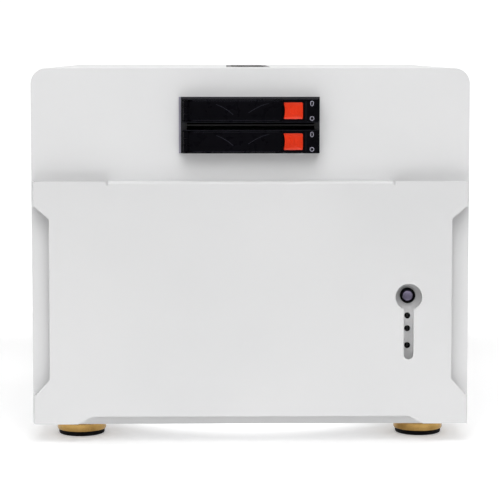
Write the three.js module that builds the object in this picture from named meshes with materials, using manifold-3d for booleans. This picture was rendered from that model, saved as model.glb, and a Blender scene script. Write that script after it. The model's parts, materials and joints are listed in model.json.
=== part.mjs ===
// Desktop NAS enclosure: a white folded-steel case with a pull-off drive door,
// eight upright 3.5-inch trays behind it, a two-tray 2.5-inch module above it,
// a motherboard deck, two rear fans and four gold-ringed feet.
// Millimetres, +Z up. The front faces -Y. The origin is on the floor, in the
// middle of the footprint.
import * as THREE from 'three';
import { mergeVertices } from 'three/addons/utils/BufferGeometryUtils.js';
import Module from 'manifold-3d';

const wasm = await Module();
wasm.setup();

// ---------------------------------------------------------------- dimensions

const WIDTH = 340;
const HEIGHT = 291;
const DEPTH = 358;
const FOOT_HEIGHT = 13;
const SHEET = 1.2;
const GAP = 0.3;
const SHORT = 1; // how far a cutting tool runs past the surface it cuts

// Depth stations, front to back.
const DOOR_FRONT = -DEPTH / 2;
const DOOR_DEPTH = 12;
const PLATE_FRONT = DOOR_FRONT + DOOR_DEPTH;
const PLATE_BACK = PLATE_FRONT + SHEET;
const GUARD = { wire: 1.2, centre: 2.2 };
const REAR_FACE = DEPTH / 2 - GUARD.centre - GUARD.wire;
const COVER_BACK = REAR_FACE + 1;

// Outline of the case.
const HALF = WIDTH / 2;
const CASE_BOTTOM = FOOT_HEIGHT;
const TOP_RADIUS = 12;
const BOTTOM_RADIUS = 2.5;
const INNER = SHEET + GAP; // what sits inside the cover stays this far inside the outline
const RIM_DEPTH = 10;

// Drive door.
const DOOR = { half: 168.5, bottom: 15, top: 204, sheet: 1.5, cornerRadius: 2, bentHalf: 110 };
const SIDE_NOTCH = { depth: 12.8, outerLow: 36, innerLow: 50, innerHigh: 175, outerHigh: 186 };
const BOTTOM_NOTCH = { height: 6, outerHalf: 134, innerHalf: 123 };
const KEYHOLE = { x: 122.5, z: 114.1, radius: 10.3, slotHalf: 3.8, slotBottom: 65.4 };
const MAGNET = { width: 9, height: 14, x: 158, z: 194 };

// Power button and status lights, on the front plate behind the keyhole.
const BUTTON = { ringRadius: 6, bodyRadius: 5.3, boreRadius: 4.6, capRadius: 4.25, proud: 2.5, length: 22 };
const LIGHTS = { radius: 2, pegRadius: 1.6, z: [98.2, 88.1, 74.8] };

// Eight 3.5-inch trays, side by side, each holding its drive on edge.
const TRAYS = 8;
const TRAY_PITCH = 32.4;
const BAY_LEFT = -151;
const BAY_RIGHT = BAY_LEFT + TRAYS * TRAY_PITCH;
const TRAY_MID = 112;
const DRIVE = { height: 101.6, width: 26.1, length: 147 };
const BEZEL = { width: 31.4, height: 126, front: PLATE_FRONT - 2, thickness: 12 };
const BEZEL_BACK = BEZEL.front + BEZEL.thickness;
const ARM = { width: 28.4, thickness: 5, offset: DRIVE.height / 2 + 0.4 };
const TRAY_BACK = BEZEL_BACK + 1 + DRIVE.length;
const LATCH = { width: 24, bottom: -36, pivotZ: 53.5, pivotDepth: 2.3, thickness: 3.5 };
const PIN_RADIUS = 1.2;
const PIN_BORE_RADIUS = 1.5;

// Cage around the trays.
const RIB = { thickness: 3, height: 6.6 };
const CAGE_FRONT = BEZEL_BACK + 2;
const WALL_LEFT = BAY_LEFT - 3.2;
const WALL_RIGHT = BAY_RIGHT + 2;
const BACKPLANE_FRONT = TRAY_BACK + 6;
const BOARD = 1.6;

// Motherboard deck, sized for a 244 mm square board.
const DECK_Z = 188;
const STANDOFF = { radius: 3, boreRadius: 1.5, height: 6.5 };
const STANDOFF_X = [89, 89 - 157.48, 89 - 203.2];
const STANDOFF_Y = [148, 148 - 154.94, 148 - 227.33];

// Rear panel.
const RECESS = { left: -134.5, right: 121.5, bottom: 194, top: 281.2, depth: 12 };
const IO_WINDOW = { left: -41.4, right: 117.35, bottom: 196.5, top: 240.95 };
const SLOTS = 4;
const SLOT = { pitch: 20.32, firstX: -61.5, coverWidth: 18.4, windowWidth: 13, bottom: 203, windowTop: 276 };
const PSU = { x: 139.5, z: 104, width: 38.5, height: 79.5 };
const FAN = { size: 120, depth: 25, ductRadius: 58, holePitch: 105, z: 104, x: [-87, 37] };
const ROTOR = { hubRadius: 20, tipRadius: 56, blades: 7, depth: 19 };

// Two-tray 2.5-inch module.
const MODULE = { left: -55.5, right: 53.5, bottom: 225.3, top: 268.9, flange: 1 };
const MODULE_CAGE = { half: 50.6, bottom: 226.5, top: 267.7, depth: 128 };
const SSD_TRAY_Z = [258.45, 234.65];
const SSD = { half: 52.8, height: 18, front: DOOR_FRONT + 1, carrierHalf: 48.8, carrierLow: -6.5,
  carrierHigh: 7.6, length: 113 };
const SSD_LEVER = { left: -46.5, right: 24, height: 15.8, thickness: 5, pivotX: -49.7 };
const SSD_BUTTON = { left: 25.5, right: 40.1, height: 12.7, thickness: 6 };
const SSD_LIGHT_X = 47.1;

// Top vent and feet.
const VENT = { width: 36, front: DOOR_FRONT + 110, back: DOOR_FRONT + 330, slotPitch: 8, slotWidth: 4 };
const FOOT = { radius: 19.5, padRadius: 18.15, padHeight: 3.3, stemRadius: 12, x: 134.5, y: 134 };

// ---------------------------------------------------------------- materials

const COLOURS = {
  whitePaint: { color: 0xe9e9ea, roughness: 0.55, metalness: 0.1 },
  zincSteel: { color: 0xb4b7ba, roughness: 0.4, metalness: 0.9 },
  blackPlastic: { color: 0x121214, roughness: 0.45, metalness: 0 },
  greyPlastic: { color: 0x3c3a42, roughness: 0.5, metalness: 0 },
  redPlastic: { color: 0xe8320f, roughness: 0.35, metalness: 0 },
  goldMetal: { color: 0xc9973f, roughness: 0.25, metalness: 1 },
  rubber: { color: 0x0d0d0e, roughness: 0.85, metalness: 0 },
  circuitBoard: { color: 0x14382a, roughness: 0.5, metalness: 0 },
  smokedLens: { color: 0x1a1a1d, roughness: 0.15, metalness: 0 },
  magnetSteel: { color: 0x8f9296, roughness: 0.3, metalness: 1 },
  blackWire: { color: 0x1c1c1e, roughness: 0.4, metalness: 0.6 },
};

// ---------------------------------------------------------------- solid tools

function toSolid(geometry) {
  const bare = geometry.clone();
  bare.deleteAttribute('normal');
  bare.deleteAttribute('uv');
  const welded = mergeVertices(bare, 1e-4);
  return new wasm.Manifold(new wasm.Mesh({
    numProp: 3,
    vertProperties: new Float32Array(welded.attributes.position.array),
    triVerts: new Uint32Array(welded.index.array),
  }));
}

function toGeometry(solid) {
  const mesh = solid.getMesh();
  const geometry = new THREE.BufferGeometry();
  geometry.setAttribute('position', new THREE.BufferAttribute(new Float32Array(mesh.vertProperties), 3));
  geometry.setIndex(new THREE.BufferAttribute(new Uint32Array(mesh.triVerts), 1));
  geometry.computeVertexNormals();
  return geometry;
}

// A box between two limits on each axis.
function block([x0, x1], [y0, y1], [z0, z1]) {
  const box = new THREE.BoxGeometry(x1 - x0, y1 - y0, z1 - z0);
  box.translate((x0 + x1) / 2, (y0 + y1) / 2, (z0 + z1) / 2);
  return toSolid(box);
}

function extrude(shape, depth, curveSegments) {
  return new THREE.ExtrudeGeometry(shape, { depth, bevelEnabled: false, curveSegments });
}

// A plate facing front: its outline is drawn in X and Z and runs from y0 to y1.
function frontPlate(shape, y0, y1, curveSegments = 6) {
  const plate = extrude(shape, y1 - y0, curveSegments);
  plate.rotateX(Math.PI / 2);
  plate.translate(0, y1, 0);
  return toSolid(plate);
}

// A plate facing sideways: its outline is drawn in Y and Z and runs from x0 to x1.
function sidePlate(shape, x0, x1, curveSegments = 6) {
  const plate = extrude(shape, x1 - x0, curveSegments);
  const turn = new THREE.Matrix4().makeBasis(
    new THREE.Vector3(0, 1, 0),
    new THREE.Vector3(0, 0, 1),
    new THREE.Vector3(1, 0, 0),
  );
  plate.applyMatrix4(turn);
  plate.translate(x0, 0, 0);
  return toSolid(plate);
}

const ALONG = {
  x: new THREE.Vector3(1, 0, 0),
  y: new THREE.Vector3(0, 1, 0),
  z: new THREE.Vector3(0, 0, 1),
};

// A round bar along one axis, starting at a point.
function rod(axis, start, length, radius, sides = 16) {
  const bar = new THREE.CylinderGeometry(radius, radius, length, sides);
  bar.translate(0, length / 2, 0);
  bar.applyQuaternion(new THREE.Quaternion().setFromUnitVectors(ALONG.y, ALONG[axis]));
  bar.translate(...start);
  return toSolid(bar);
}

function turned(points, sides, axis = 'z') {
  const profile = points.map(([radius, along]) => new THREE.Vector2(radius, along));
  const body = new THREE.LatheGeometry(profile, sides);
  body.applyQuaternion(new THREE.Quaternion().setFromUnitVectors(ALONG.y, ALONG[axis]));
  return toSolid(body);
}

function join(first, ...others) {
  return others.reduce((sum, solid) => sum.add(solid), first);
}

function cut(first, ...others) {
  return others.reduce((left, solid) => left.subtract(solid), first);
}

function outline(points) {
  const shape = new THREE.Shape();
  shape.moveTo(...points[0]);
  points.slice(1).forEach((point) => shape.lineTo(...point));
  shape.closePath();
  return shape;
}

function roundedRect([x0, x1], [z0, z1], radius) {
  const quarter = Math.PI / 2;
  const shape = new THREE.Shape();
  shape.absarc(x1 - radius, z0 + radius, radius, -quarter, 0, false);
  shape.absarc(x1 - radius, z1 - radius, radius, 0, quarter, false);
  shape.absarc(x0 + radius, z1 - radius, radius, quarter, 2 * quarter, false);
  shape.absarc(x0 + radius, z0 + radius, radius, 2 * quarter, 3 * quarter, false);
  shape.closePath();
  return shape;
}

// The case's front outline, moved inwards all round.
function caseOutline(inset) {
  const quarter = Math.PI / 2;
  const side = HALF - inset;
  const low = CASE_BOTTOM + inset;
  const high = HEIGHT - inset;
  const top = TOP_RADIUS - inset;
  const bottom = Math.max(BOTTOM_RADIUS - inset, 0.5);
  const shape = new THREE.Shape();
  shape.absarc(side - bottom, low + bottom, bottom, -quarter, 0, false);
  shape.absarc(side - top, high - top, top, 0, quarter, false);
  shape.absarc(-side + top, high - top, top, quarter, 2 * quarter, false);
  shape.absarc(-side + bottom, low + bottom, bottom, 2 * quarter, 3 * quarter, false);
  shape.closePath();
  return shape;
}

// A long slot with pointed ends, drawn around a centre.
function pointedSlot(u, v, width, length) {
  const w = width / 2;
  const l = length / 2;
  return outline([[u, v - l], [u + w, v - l + w], [u + w, v + l - w], [u, v + l], [u - w, v + l - w],
    [u - w, v - l + w]]);
}

const group = new THREE.Group();
group.name = 'nas_enclosure';

function addPiece(name, geometry, look, position = [0, 0, 0]) {
  const mesh = new THREE.Mesh(geometry, new THREE.MeshStandardMaterial(COLOURS[look]));
  mesh.name = name;
  mesh.position.set(...position);
  group.add(mesh);
}

// ---------------------------------------------------------------- case

const trayOpening = {
  x: [BAY_LEFT - 0.6, BAY_RIGHT + 0.6],
  z: [TRAY_MID - BEZEL.height / 2 - 0.8, TRAY_MID + BEZEL.height / 2 + 0.8],
};

function frontPlateBody() {
  const skin = frontPlate(caseOutline(0), PLATE_FRONT, PLATE_BACK, 8);
  const rimBack = PLATE_BACK + RIM_DEPTH;
  const rimOuter = frontPlate(caseOutline(INNER), PLATE_BACK - 0.1, rimBack, 8);
  const rimInner = frontPlate(caseOutline(INNER + SHEET), PLATE_BACK, rimBack + SHORT, 8);
  const throughY = [PLATE_FRONT - SHORT, PLATE_BACK + SHORT];
  const holes = LIGHTS.z.map((z) => rod('y', [KEYHOLE.x, throughY[0], z], 4, LIGHTS.radius, 12));
  return cut(
    join(skin, cut(rimOuter, rimInner)),
    block(trayOpening.x, throughY, trayOpening.z),
    block([-MODULE_CAGE.half - GAP, MODULE_CAGE.half + GAP], throughY,
      [MODULE_CAGE.bottom - GAP, MODULE_CAGE.top + GAP]),
    rod('y', [KEYHOLE.x, throughY[0], KEYHOLE.z], 4, BUTTON.bodyRadius + GAP, 24),
    ...holes,
  );
}

// Inverted U over the case: roof and both sides, with a short lip under each side.
function topCoverBody() {
  const front = PLATE_BACK + GAP;
  const outer = frontPlate(caseOutline(0), front, COVER_BACK, 8);
  const inner = frontPlate(caseOutline(SHEET), front - SHORT, COVER_BACK + SHORT, 8);
  const open = block([-HALF - SHORT, HALF + SHORT], [front - SHORT, COVER_BACK + SHORT],
    [0, CASE_BOTTOM + BOTTOM_RADIUS]);
  const roofOpening = block(
    [-VENT.width / 2 - GAP, VENT.width / 2 + GAP],
    [VENT.front - GAP, VENT.back + GAP],
    [HEIGHT - 5, HEIGHT + SHORT],
  );
  return cut(outer, inner, open, roofOpening, ...sideVents());
}

function sideVents() {
  const slots = [];
  const rows = [78, 142];
  const columns = 12;
  const pitch = 18;
  rows.forEach((z) => {
    for (let column = 0; column < columns; column += 1) {
      const y = (column - (columns - 1) / 2) * pitch;
      slots.push(sidePlate(pointedSlot(y, z, 5, 32), -HALF - SHORT, -HALF + 3));
      slots.push(sidePlate(pointedSlot(y, z, 5, 32), HALF - 3, HALF + SHORT));
    }
  });
  return slots;
}

function basePanBody() {
  const flangeFront = PLATE_BACK + RIM_DEPTH + GAP;
  const back = REAR_FACE - SHEET - GAP;
  const floor = block([-HALF + BOTTOM_RADIUS, HALF - BOTTOM_RADIUS], [PLATE_BACK + GAP, back],
    [CASE_BOTTOM, CASE_BOTTOM + SHEET]);
  const side = HALF - INNER;
  const flangeTop = CASE_BOTTOM + 16;
  const flange = (x0, x1) => block([x0, x1], [flangeFront, back], [CASE_BOTTOM + SHEET - 0.2, flangeTop]);
  return join(
    floor,
    flange(-HALF + BOTTOM_RADIUS, -side + SHEET + 1),
    flange(side - SHEET - 1, HALF - BOTTOM_RADIUS),
  );
}

function rearPanelBody() {
  const inside = REAR_FACE - SHEET;
  const wallFront = REAR_FACE - RECESS.depth;
  const skin = frontPlate(caseOutline(INNER), inside, REAR_FACE, 8);
  const pocket = block([RECESS.left, RECESS.right], [wallFront, REAR_FACE], [RECESS.bottom, RECESS.top]);
  const hollow = block([RECESS.left + SHEET, RECESS.right - SHEET], [wallFront + SHEET, REAR_FACE + SHORT],
    [RECESS.bottom + SHEET, RECESS.top - SHEET]);
  const through = [wallFront - SHORT, REAR_FACE + SHORT];
  const panelOnly = [inside - SHORT, REAR_FACE + SHORT];
  const slotWindows = slotCentres().map((x) => block(
    [x - SLOT.windowWidth / 2, x + SLOT.windowWidth / 2],
    through,
    [SLOT.bottom, SLOT.windowTop],
  ));
  const fanOpenings = FAN.x.map((x) => rod('y', [x, panelOnly[0], FAN.z], 4, FAN.ductRadius - 1, 32));
  const screwHoles = FAN.x.flatMap((x) => corners(x, FAN.z, FAN.holePitch, FAN.holePitch))
    .map(([x, z]) => rod('y', [x, panelOnly[0], z], 4, 2.2, 6));
  const psuWindow = block([PSU.x - PSU.width / 2, PSU.x + PSU.width / 2], panelOnly,
    [PSU.z - PSU.height / 2, PSU.z + PSU.height / 2]);
  const ioWindow = block([IO_WINDOW.left, IO_WINDOW.right], through, [IO_WINDOW.bottom, IO_WINDOW.top]);
  return cut(join(skin, pocket), hollow, ioWindow, psuWindow, ...slotWindows, ...fanOpenings, ...screwHoles);
}

function slotCentres() {
  return Array.from({ length: SLOTS }, (_, index) => SLOT.firstX - index * SLOT.pitch);
}

// The four corners of a rectangle around a centre.
function corners(x, z, width, height) {
  return [-1, 1].flatMap((sx) => [-1, 1].map((sz) => [x + (sx * width) / 2, z + (sz * height) / 2]));
}

function deckBody() {
  const front = CAGE_FRONT;
  const back = REAR_FACE - RECESS.depth - GAP;
  const side = HALF - INNER - GAP;
  const top = DECK_Z + SHEET;
  const sheet = block([-side, side], [front, back], [DECK_Z, top]);
  const flange = (x0, x1) => block([x0, x1], [front, back], [DECK_Z - 10, DECK_Z + 0.2]);
  const cablePass = (y) => block([128, 152], [y - 40, y + 40], [DECK_Z - SHORT, top + SHORT]);
  const posts = STANDOFF_X.flatMap((x) => STANDOFF_Y.map((y) => cut(
    rod('z', [x, y, top - 0.2], STANDOFF.height + 0.2, STANDOFF.radius, 6),
    rod('z', [x, y, top + 1], STANDOFF.height, STANDOFF.boreRadius, 6),
  )));
  return join(
    cut(sheet, cablePass(60), cablePass(-60)),
    flange(-side, -side + SHEET),
    flange(side - SHEET, side),
    ...posts,
  );
}

function topVentBody() {
  const half = VENT.width / 2;
  const face = block([-half, half], [VENT.front, VENT.back], [HEIGHT - 2, HEIGHT]);
  const flange = block([-half - 5, half + 5], [VENT.front - 5, VENT.back + 5],
    [HEIGHT - SHEET - GAP - 1.4, HEIGHT - SHEET - GAP]);
  const slots = [];
  for (let y = VENT.front + 7; y < VENT.back - 5; y += VENT.slotPitch) {
    slots.push(block([-half + 4, half - 4], [y, y + VENT.slotWidth], [HEIGHT - 5, HEIGHT + SHORT]));
  }
  return cut(join(face, flange), ...slots);
}

function slotCoverBody() {
  const wallFront = REAR_FACE - RECESS.depth;
  const plateBack = wallFront - GAP;
  const tabBottom = RECESS.top + GAP;
  const half = SLOT.coverWidth / 2;
  const plate = block([-half, half], [plateBack - 1, plateBack], [RECESS.bottom + 4, tabBottom + 1]);
  const tab = block([-half, half], [plateBack - 0.2, plateBack + 11], [tabBottom, tabBottom + 1]);
  const screwNotch = rod('z', [-half, plateBack + 6, tabBottom - SHORT], 4, 2.3, 12);
  return cut(join(plate, tab), screwNotch);
}

// Bar that clamps the tabs of the slot covers onto their ledge.
function slotRetainerBody() {
  const bottom = RECESS.top + GAP + 1 + GAP;
  const plateBack = REAR_FACE - RECESS.depth - GAP;
  const ends = [slotCentres().at(-1) - SLOT.pitch / 2, slotCentres()[0] + SLOT.pitch / 2];
  const bar = block(ends, [plateBack + 1, plateBack + 10], [bottom, bottom + 1.2]);
  const stiffener = block(ends, [plateBack + 1, plateBack + 2.2], [bottom, bottom + 4.5]);
  return join(bar, stiffener);
}

// ---------------------------------------------------------------- feet

function footRingBody() {
  const top = FOOT_HEIGHT - GAP;
  const low = FOOT.padHeight + GAP;
  const bore = FOOT.stemRadius + GAP;
  return turned([
    [bore, low],
    [FOOT.radius - 1, low],
    [FOOT.radius, low + 1],
    [FOOT.radius, top - 0.8],
    [FOOT.radius - 0.8, top],
    [bore, top],
    [bore, low],
  ], 28);
}

function footPadBody() {
  const radius = FOOT.padRadius;
  return turned([
    [0, 0],
    [radius - 0.8, 0],
    [radius, 0.8],
    [radius, FOOT.padHeight],
    [FOOT.stemRadius, FOOT.padHeight],
    [FOOT.stemRadius, FOOT_HEIGHT - 1],
    [0, FOOT_HEIGHT - 1],
  ], 24);
}

// ---------------------------------------------------------------- drive door

function keyholeShape() {
  const angle = Math.asin(KEYHOLE.slotHalf / KEYHOLE.radius);
  const shape = new THREE.Shape();
  shape.absarc(KEYHOLE.x, KEYHOLE.z, KEYHOLE.radius, -Math.PI / 2 + angle, (3 * Math.PI) / 2 - angle, false);
  shape.absarc(KEYHOLE.x, KEYHOLE.slotBottom + KEYHOLE.slotHalf, KEYHOLE.slotHalf, -Math.PI, 0, false);
  shape.closePath();
  return shape;
}

function doorFace() {
  const { half, bottom, top, cornerRadius: r } = DOOR;
  const quarter = Math.PI / 2;
  const notch = SIDE_NOTCH;
  const inner = half - notch.depth;
  const shape = new THREE.Shape();
  shape.moveTo(BOTTOM_NOTCH.outerHalf, bottom);
  shape.absarc(half - r, bottom + r, r, -quarter, 0, false);
  shape.lineTo(half, notch.outerLow);
  shape.lineTo(inner, notch.innerLow);
  shape.lineTo(inner, notch.innerHigh);
  shape.lineTo(half, notch.outerHigh);
  shape.absarc(half - r, top - r, r, 0, quarter, false);
  shape.absarc(-half + r, top - r, r, quarter, 2 * quarter, false);
  shape.lineTo(-half, notch.outerHigh);
  shape.lineTo(-inner, notch.innerHigh);
  shape.lineTo(-inner, notch.innerLow);
  shape.lineTo(-half, notch.outerLow);
  shape.absarc(-half + r, bottom + r, r, 2 * quarter, 3 * quarter, false);
  shape.lineTo(-BOTTOM_NOTCH.outerHalf, bottom);
  shape.lineTo(-BOTTOM_NOTCH.innerHalf, bottom + BOTTOM_NOTCH.height);
  shape.lineTo(BOTTOM_NOTCH.innerHalf, bottom + BOTTOM_NOTCH.height);
  shape.closePath();
  return shape;
}

// Folded sheet: the face, a bent flange along the top and a short return on each straight side.
function doorBody() {
  const { half, bottom, top, sheet, bentHalf, cornerRadius } = DOOR;
  const inside = DOOR_FRONT + sheet;
  const face = frontPlate(doorFace(), DOOR_FRONT, inside, 6);
  const keyhole = frontPlate(keyholeShape(), DOOR_FRONT - SHORT, inside + SHORT, 16);
  const topFlange = block([-bentHalf, bentHalf], [inside - 0.2, PLATE_FRONT - 1], [top - sheet, top]);
  const returnBack = PLATE_FRONT - 1.5;
  const sideReturn = (x0, z0, z1) => block([x0, x0 + sheet], [inside - 0.2, returnBack], [z0, z1]);
  const lowReturn = [bottom + cornerRadius, SIDE_NOTCH.outerLow];
  const highReturn = [SIDE_NOTCH.outerHigh, top - cornerRadius];
  return join(
    cut(face, keyhole),
    topFlange,
    sideReturn(-half, ...lowReturn),
    sideReturn(-half, ...highReturn),
    sideReturn(half - sheet, ...lowReturn),
    sideReturn(half - sheet, ...highReturn),
  );
}

function doorMagnetBody() {
  const front = DOOR_FRONT + DOOR.sheet + GAP;
  const shape = roundedRect([-MAGNET.width / 2, MAGNET.width / 2], [-MAGNET.height / 2, MAGNET.height / 2], 2);
  return frontPlate(shape, front, PLATE_FRONT - GAP, 3);
}

// ---------------------------------------------------------------- button and lights

// Ring and threaded bushing with the switch body on its back, around the button's own axis.
function buttonBezelBody() {
  const front = PLATE_FRONT - BUTTON.proud;
  const back = front + BUTTON.length;
  const seat = front + 9;
  return turned([
    [BUTTON.boreRadius, front + 0.4],
    [BUTTON.boreRadius + 0.4, front],
    [BUTTON.ringRadius - 0.5, front],
    [BUTTON.ringRadius, front + 0.5],
    [BUTTON.ringRadius, PLATE_FRONT - GAP],
    [BUTTON.bodyRadius, PLATE_FRONT - GAP],
    [BUTTON.bodyRadius, back],
    [0, back],
    [0, seat],
    [BUTTON.boreRadius, seat],
    [BUTTON.boreRadius, front + 0.4],
  ], 20, 'y');
}

function buttonCapBody() {
  const front = PLATE_FRONT - BUTTON.proud + 0.2;
  return turned([
    [0, front],
    [BUTTON.capRadius - 0.4, front],
    [BUTTON.capRadius, front + 0.4],
    [BUTTON.capRadius, front + 6.5],
    [0, front + 6.5],
  ], 20, 'y');
}

// One moulded light guide: a bar behind the plate with a peg in each of the three holes.
function lightPipeBody() {
  const barFront = PLATE_BACK + GAP;
  const low = Math.min(...LIGHTS.z) - 6;
  const high = Math.max(...LIGHTS.z) + 5;
  const bar = block([KEYHOLE.x - 4, KEYHOLE.x + 4], [barFront, barFront + 3], [low, high]);
  const pegs = LIGHTS.z.map((z) => rod('y', [KEYHOLE.x, PLATE_FRONT + 0.2, z],
    barFront - PLATE_FRONT + 0.3, LIGHTS.pegRadius, 14));
  return join(bar, ...pegs);
}

// ---------------------------------------------------------------- 3.5-inch trays

const latchPivotY = BEZEL.front + LATCH.pivotDepth;

// Bezel with a pocket for the latch, and one arm above and below the drive. Z is from the tray's middle.
function hddTrayBody() {
  const half = BEZEL.width / 2;
  const tall = BEZEL.height / 2;
  const bezel = frontPlate(roundedRect([-half, half], [-tall, tall], 1.5), BEZEL.front, BEZEL_BACK, 2);
  const pocketHalf = LATCH.width / 2 + 0.4;
  const pocket = block([-pocketHalf, pocketHalf], [BEZEL.front - SHORT, BEZEL.front + 5],
    [LATCH.bottom - 0.6, LATCH.pivotZ + 2.9]);
  const boreHalf = pocketHalf + 1.6;
  const bore = rod('x', [-boreHalf, latchPivotY, LATCH.pivotZ], 2 * boreHalf, PIN_BORE_RADIUS, 8);
  const fingerSlot = block([-pocketHalf, pocketHalf], [BEZEL.front - SHORT, BEZEL.front + 7],
    [LATCH.bottom - 9, LATCH.bottom + 3]);
  const airSlot = block([-half + 5, half - 5], [BEZEL.front - SHORT, BEZEL_BACK + SHORT], [-57.5, -48.5]);
  const armHalf = ARM.width / 2;
  const arm = (z0, z1) => block([-armHalf, armHalf], [BEZEL_BACK - 0.5, TRAY_BACK], [z0, z1]);
  return join(
    cut(bezel, pocket, bore, fingerSlot, airSlot),
    arm(ARM.offset, ARM.offset + ARM.thickness),
    arm(-ARM.offset - ARM.thickness, -ARM.offset),
  );
}

// Flat lever hanging from a cross pin at its top.
function hddLatchBody() {
  const half = LATCH.width / 2;
  const back = BEZEL.front + LATCH.thickness;
  const plate = block([-half, half], [BEZEL.front, back], [LATCH.bottom, LATCH.pivotZ]);
  const knuckle = rod('x', [-half, latchPivotY, LATCH.pivotZ], LATCH.width, LATCH.pivotDepth, 10);
  const pin = rod('x', [-half - 1.4, latchPivotY, LATCH.pivotZ], LATCH.width + 2.8, PIN_RADIUS, 6);
  const fingerHole = frontPlate(roundedRect([-6, 6], [LATCH.bottom + 6, LATCH.bottom + 26], 5.9),
    BEZEL.front - SHORT, back + SHORT, 2);
  return cut(join(plate, knuckle, pin), fingerHole);
}

// Plate with a rib on each side of every tray; up is +1 for the lower guide and -1 for the upper one.
function driveGuideBody(up) {
  const edge = TRAY_MID - up * (ARM.offset + ARM.thickness + 0.5);
  const span = (from, to) => [Math.min(from, to), Math.max(from, to)];
  const plate = block([WALL_LEFT + SHEET + GAP, WALL_RIGHT - GAP], [CAGE_FRONT, TRAY_BACK],
    span(edge - up * 1.8, edge));
  const ribs = Array.from({ length: TRAYS + 1 }, (_, index) => {
    const x = BAY_LEFT + index * TRAY_PITCH;
    return block([x - RIB.thickness / 2, x + RIB.thickness / 2], [CAGE_FRONT, TRAY_BACK],
      span(edge - up * 0.2, edge + up * RIB.height));
  });
  return join(plate, ...ribs);
}

function cageWallBody(x) {
  return block([x, x + SHEET], [CAGE_FRONT, BACKPLANE_FRONT + BOARD + 4],
    [CASE_BOTTOM + SHEET + GAP, DECK_Z - GAP]);
}

// Circuit board behind the trays, with one connector per drive and an air slot between drives.
function hddBackplaneBody() {
  const low = TRAY_MID - 62;
  const high = TRAY_MID + 62;
  const boardBack = BACKPLANE_FRONT + BOARD;
  const board = block([WALL_LEFT + SHEET + GAP, WALL_RIGHT - GAP], [BACKPLANE_FRONT, boardBack], [low, high]);
  const centres = trayCentres();
  const sockets = centres.map((x) => block([x - 11, x - 3], [TRAY_BACK + 0.5, BACKPLANE_FRONT + 0.2],
    [TRAY_MID - 40, TRAY_MID + 2]));
  const through = [BACKPLANE_FRONT - SHORT, boardBack + SHORT];
  const airSlots = centres.map((x) => block([x + 2, x + 14], through, [low + 14, high - 14]));
  return join(cut(board, ...airSlots), ...sockets);
}

function trayCentres() {
  return Array.from({ length: TRAYS }, (_, index) => BAY_LEFT + (index + 0.5) * TRAY_PITCH);
}

// ---------------------------------------------------------------- 2.5-inch module

const moduleMid = (MODULE_CAGE.bottom + MODULE_CAGE.top) / 2;

// Sleeve with a divider between the two trays and a thin flange on the front plate.
function ssdCageBody() {
  const flangeBack = PLATE_FRONT - GAP;
  const flangeFront = flangeBack - MODULE.flange;
  const back = PLATE_FRONT + MODULE_CAGE.depth;
  const { half, bottom, top } = MODULE_CAGE;
  const flange = block([MODULE.left, MODULE.right], [flangeFront, flangeBack], [MODULE.bottom, MODULE.top]);
  const sleeve = block([-half, half], [flangeFront, back], [bottom, top]);
  const bay = (z0, z1) => block([-half + SHEET, half - SHEET], [flangeFront - SHORT, back + SHORT], [z0, z1]);
  return cut(
    join(flange, sleeve),
    bay(bottom + SHEET, moduleMid - SHEET / 2),
    bay(moduleMid + SHEET / 2, top - SHEET),
  );
}

function ssdBackplaneBody() {
  const front = PLATE_FRONT + MODULE_CAGE.depth + GAP;
  const board = block([-MODULE_CAGE.half, MODULE_CAGE.half], [front, front + BOARD],
    [MODULE_CAGE.bottom, MODULE_CAGE.top]);
  const sockets = SSD_TRAY_Z.map((z) => block([-8, 34], [front - 9, front + 0.2], [z - 3, z + 2]));
  return join(board, ...sockets);
}

// Front frame with pockets for the lever and the release button, and an open carrier behind it.
function ssdTrayBody() {
  const tall = SSD.height / 2;
  const faceBack = PLATE_FRONT - GAP - MODULE.flange - GAP;
  const face = frontPlate(roundedRect([-SSD.half, SSD.half], [-tall, tall], 1), SSD.front, faceBack, 3);
  const inFront = SSD.front - SHORT;
  const leverPocket = block(
    [-SSD.half - SHORT, SSD_LEVER.right + GAP],
    [inFront, SSD.front + SSD_LEVER.thickness + 0.4],
    [-SSD_LEVER.height / 2 - 0.35, SSD_LEVER.height / 2 + 0.35],
  );
  const buttonPocket = block(
    [SSD_BUTTON.left - GAP, SSD_BUTTON.right + GAP],
    [inFront, faceBack - 1],
    [-SSD_BUTTON.height / 2 - GAP, SSD_BUTTON.height / 2 + GAP],
  );
  const lights = [5.6, -5.9].map((z) => rod('y', [SSD_LIGHT_X, inFront, z], 3, 1.3, 12));
  const pinBore = rod('z', [SSD_LEVER.pivotX, SSD.front + 2.6, -tall - SHORT], SSD.height + 2, 1.3, 10);
  const carrierBack = faceBack + SSD.length;
  const low = SSD.carrierLow;
  const floor = block([-SSD.carrierHalf, SSD.carrierHalf], [faceBack - 0.5, carrierBack], [low, low + 1.6]);
  const rail = (x0, x1) => block([x0, x1], [faceBack - 0.5, carrierBack], [low, SSD.carrierHigh]);
  return join(
    cut(face, leverPocket, buttonPocket, pinBore, ...lights),
    floor,
    rail(-SSD.carrierHalf, -37),
    rail(37, SSD.carrierHalf),
  );
}

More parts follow.
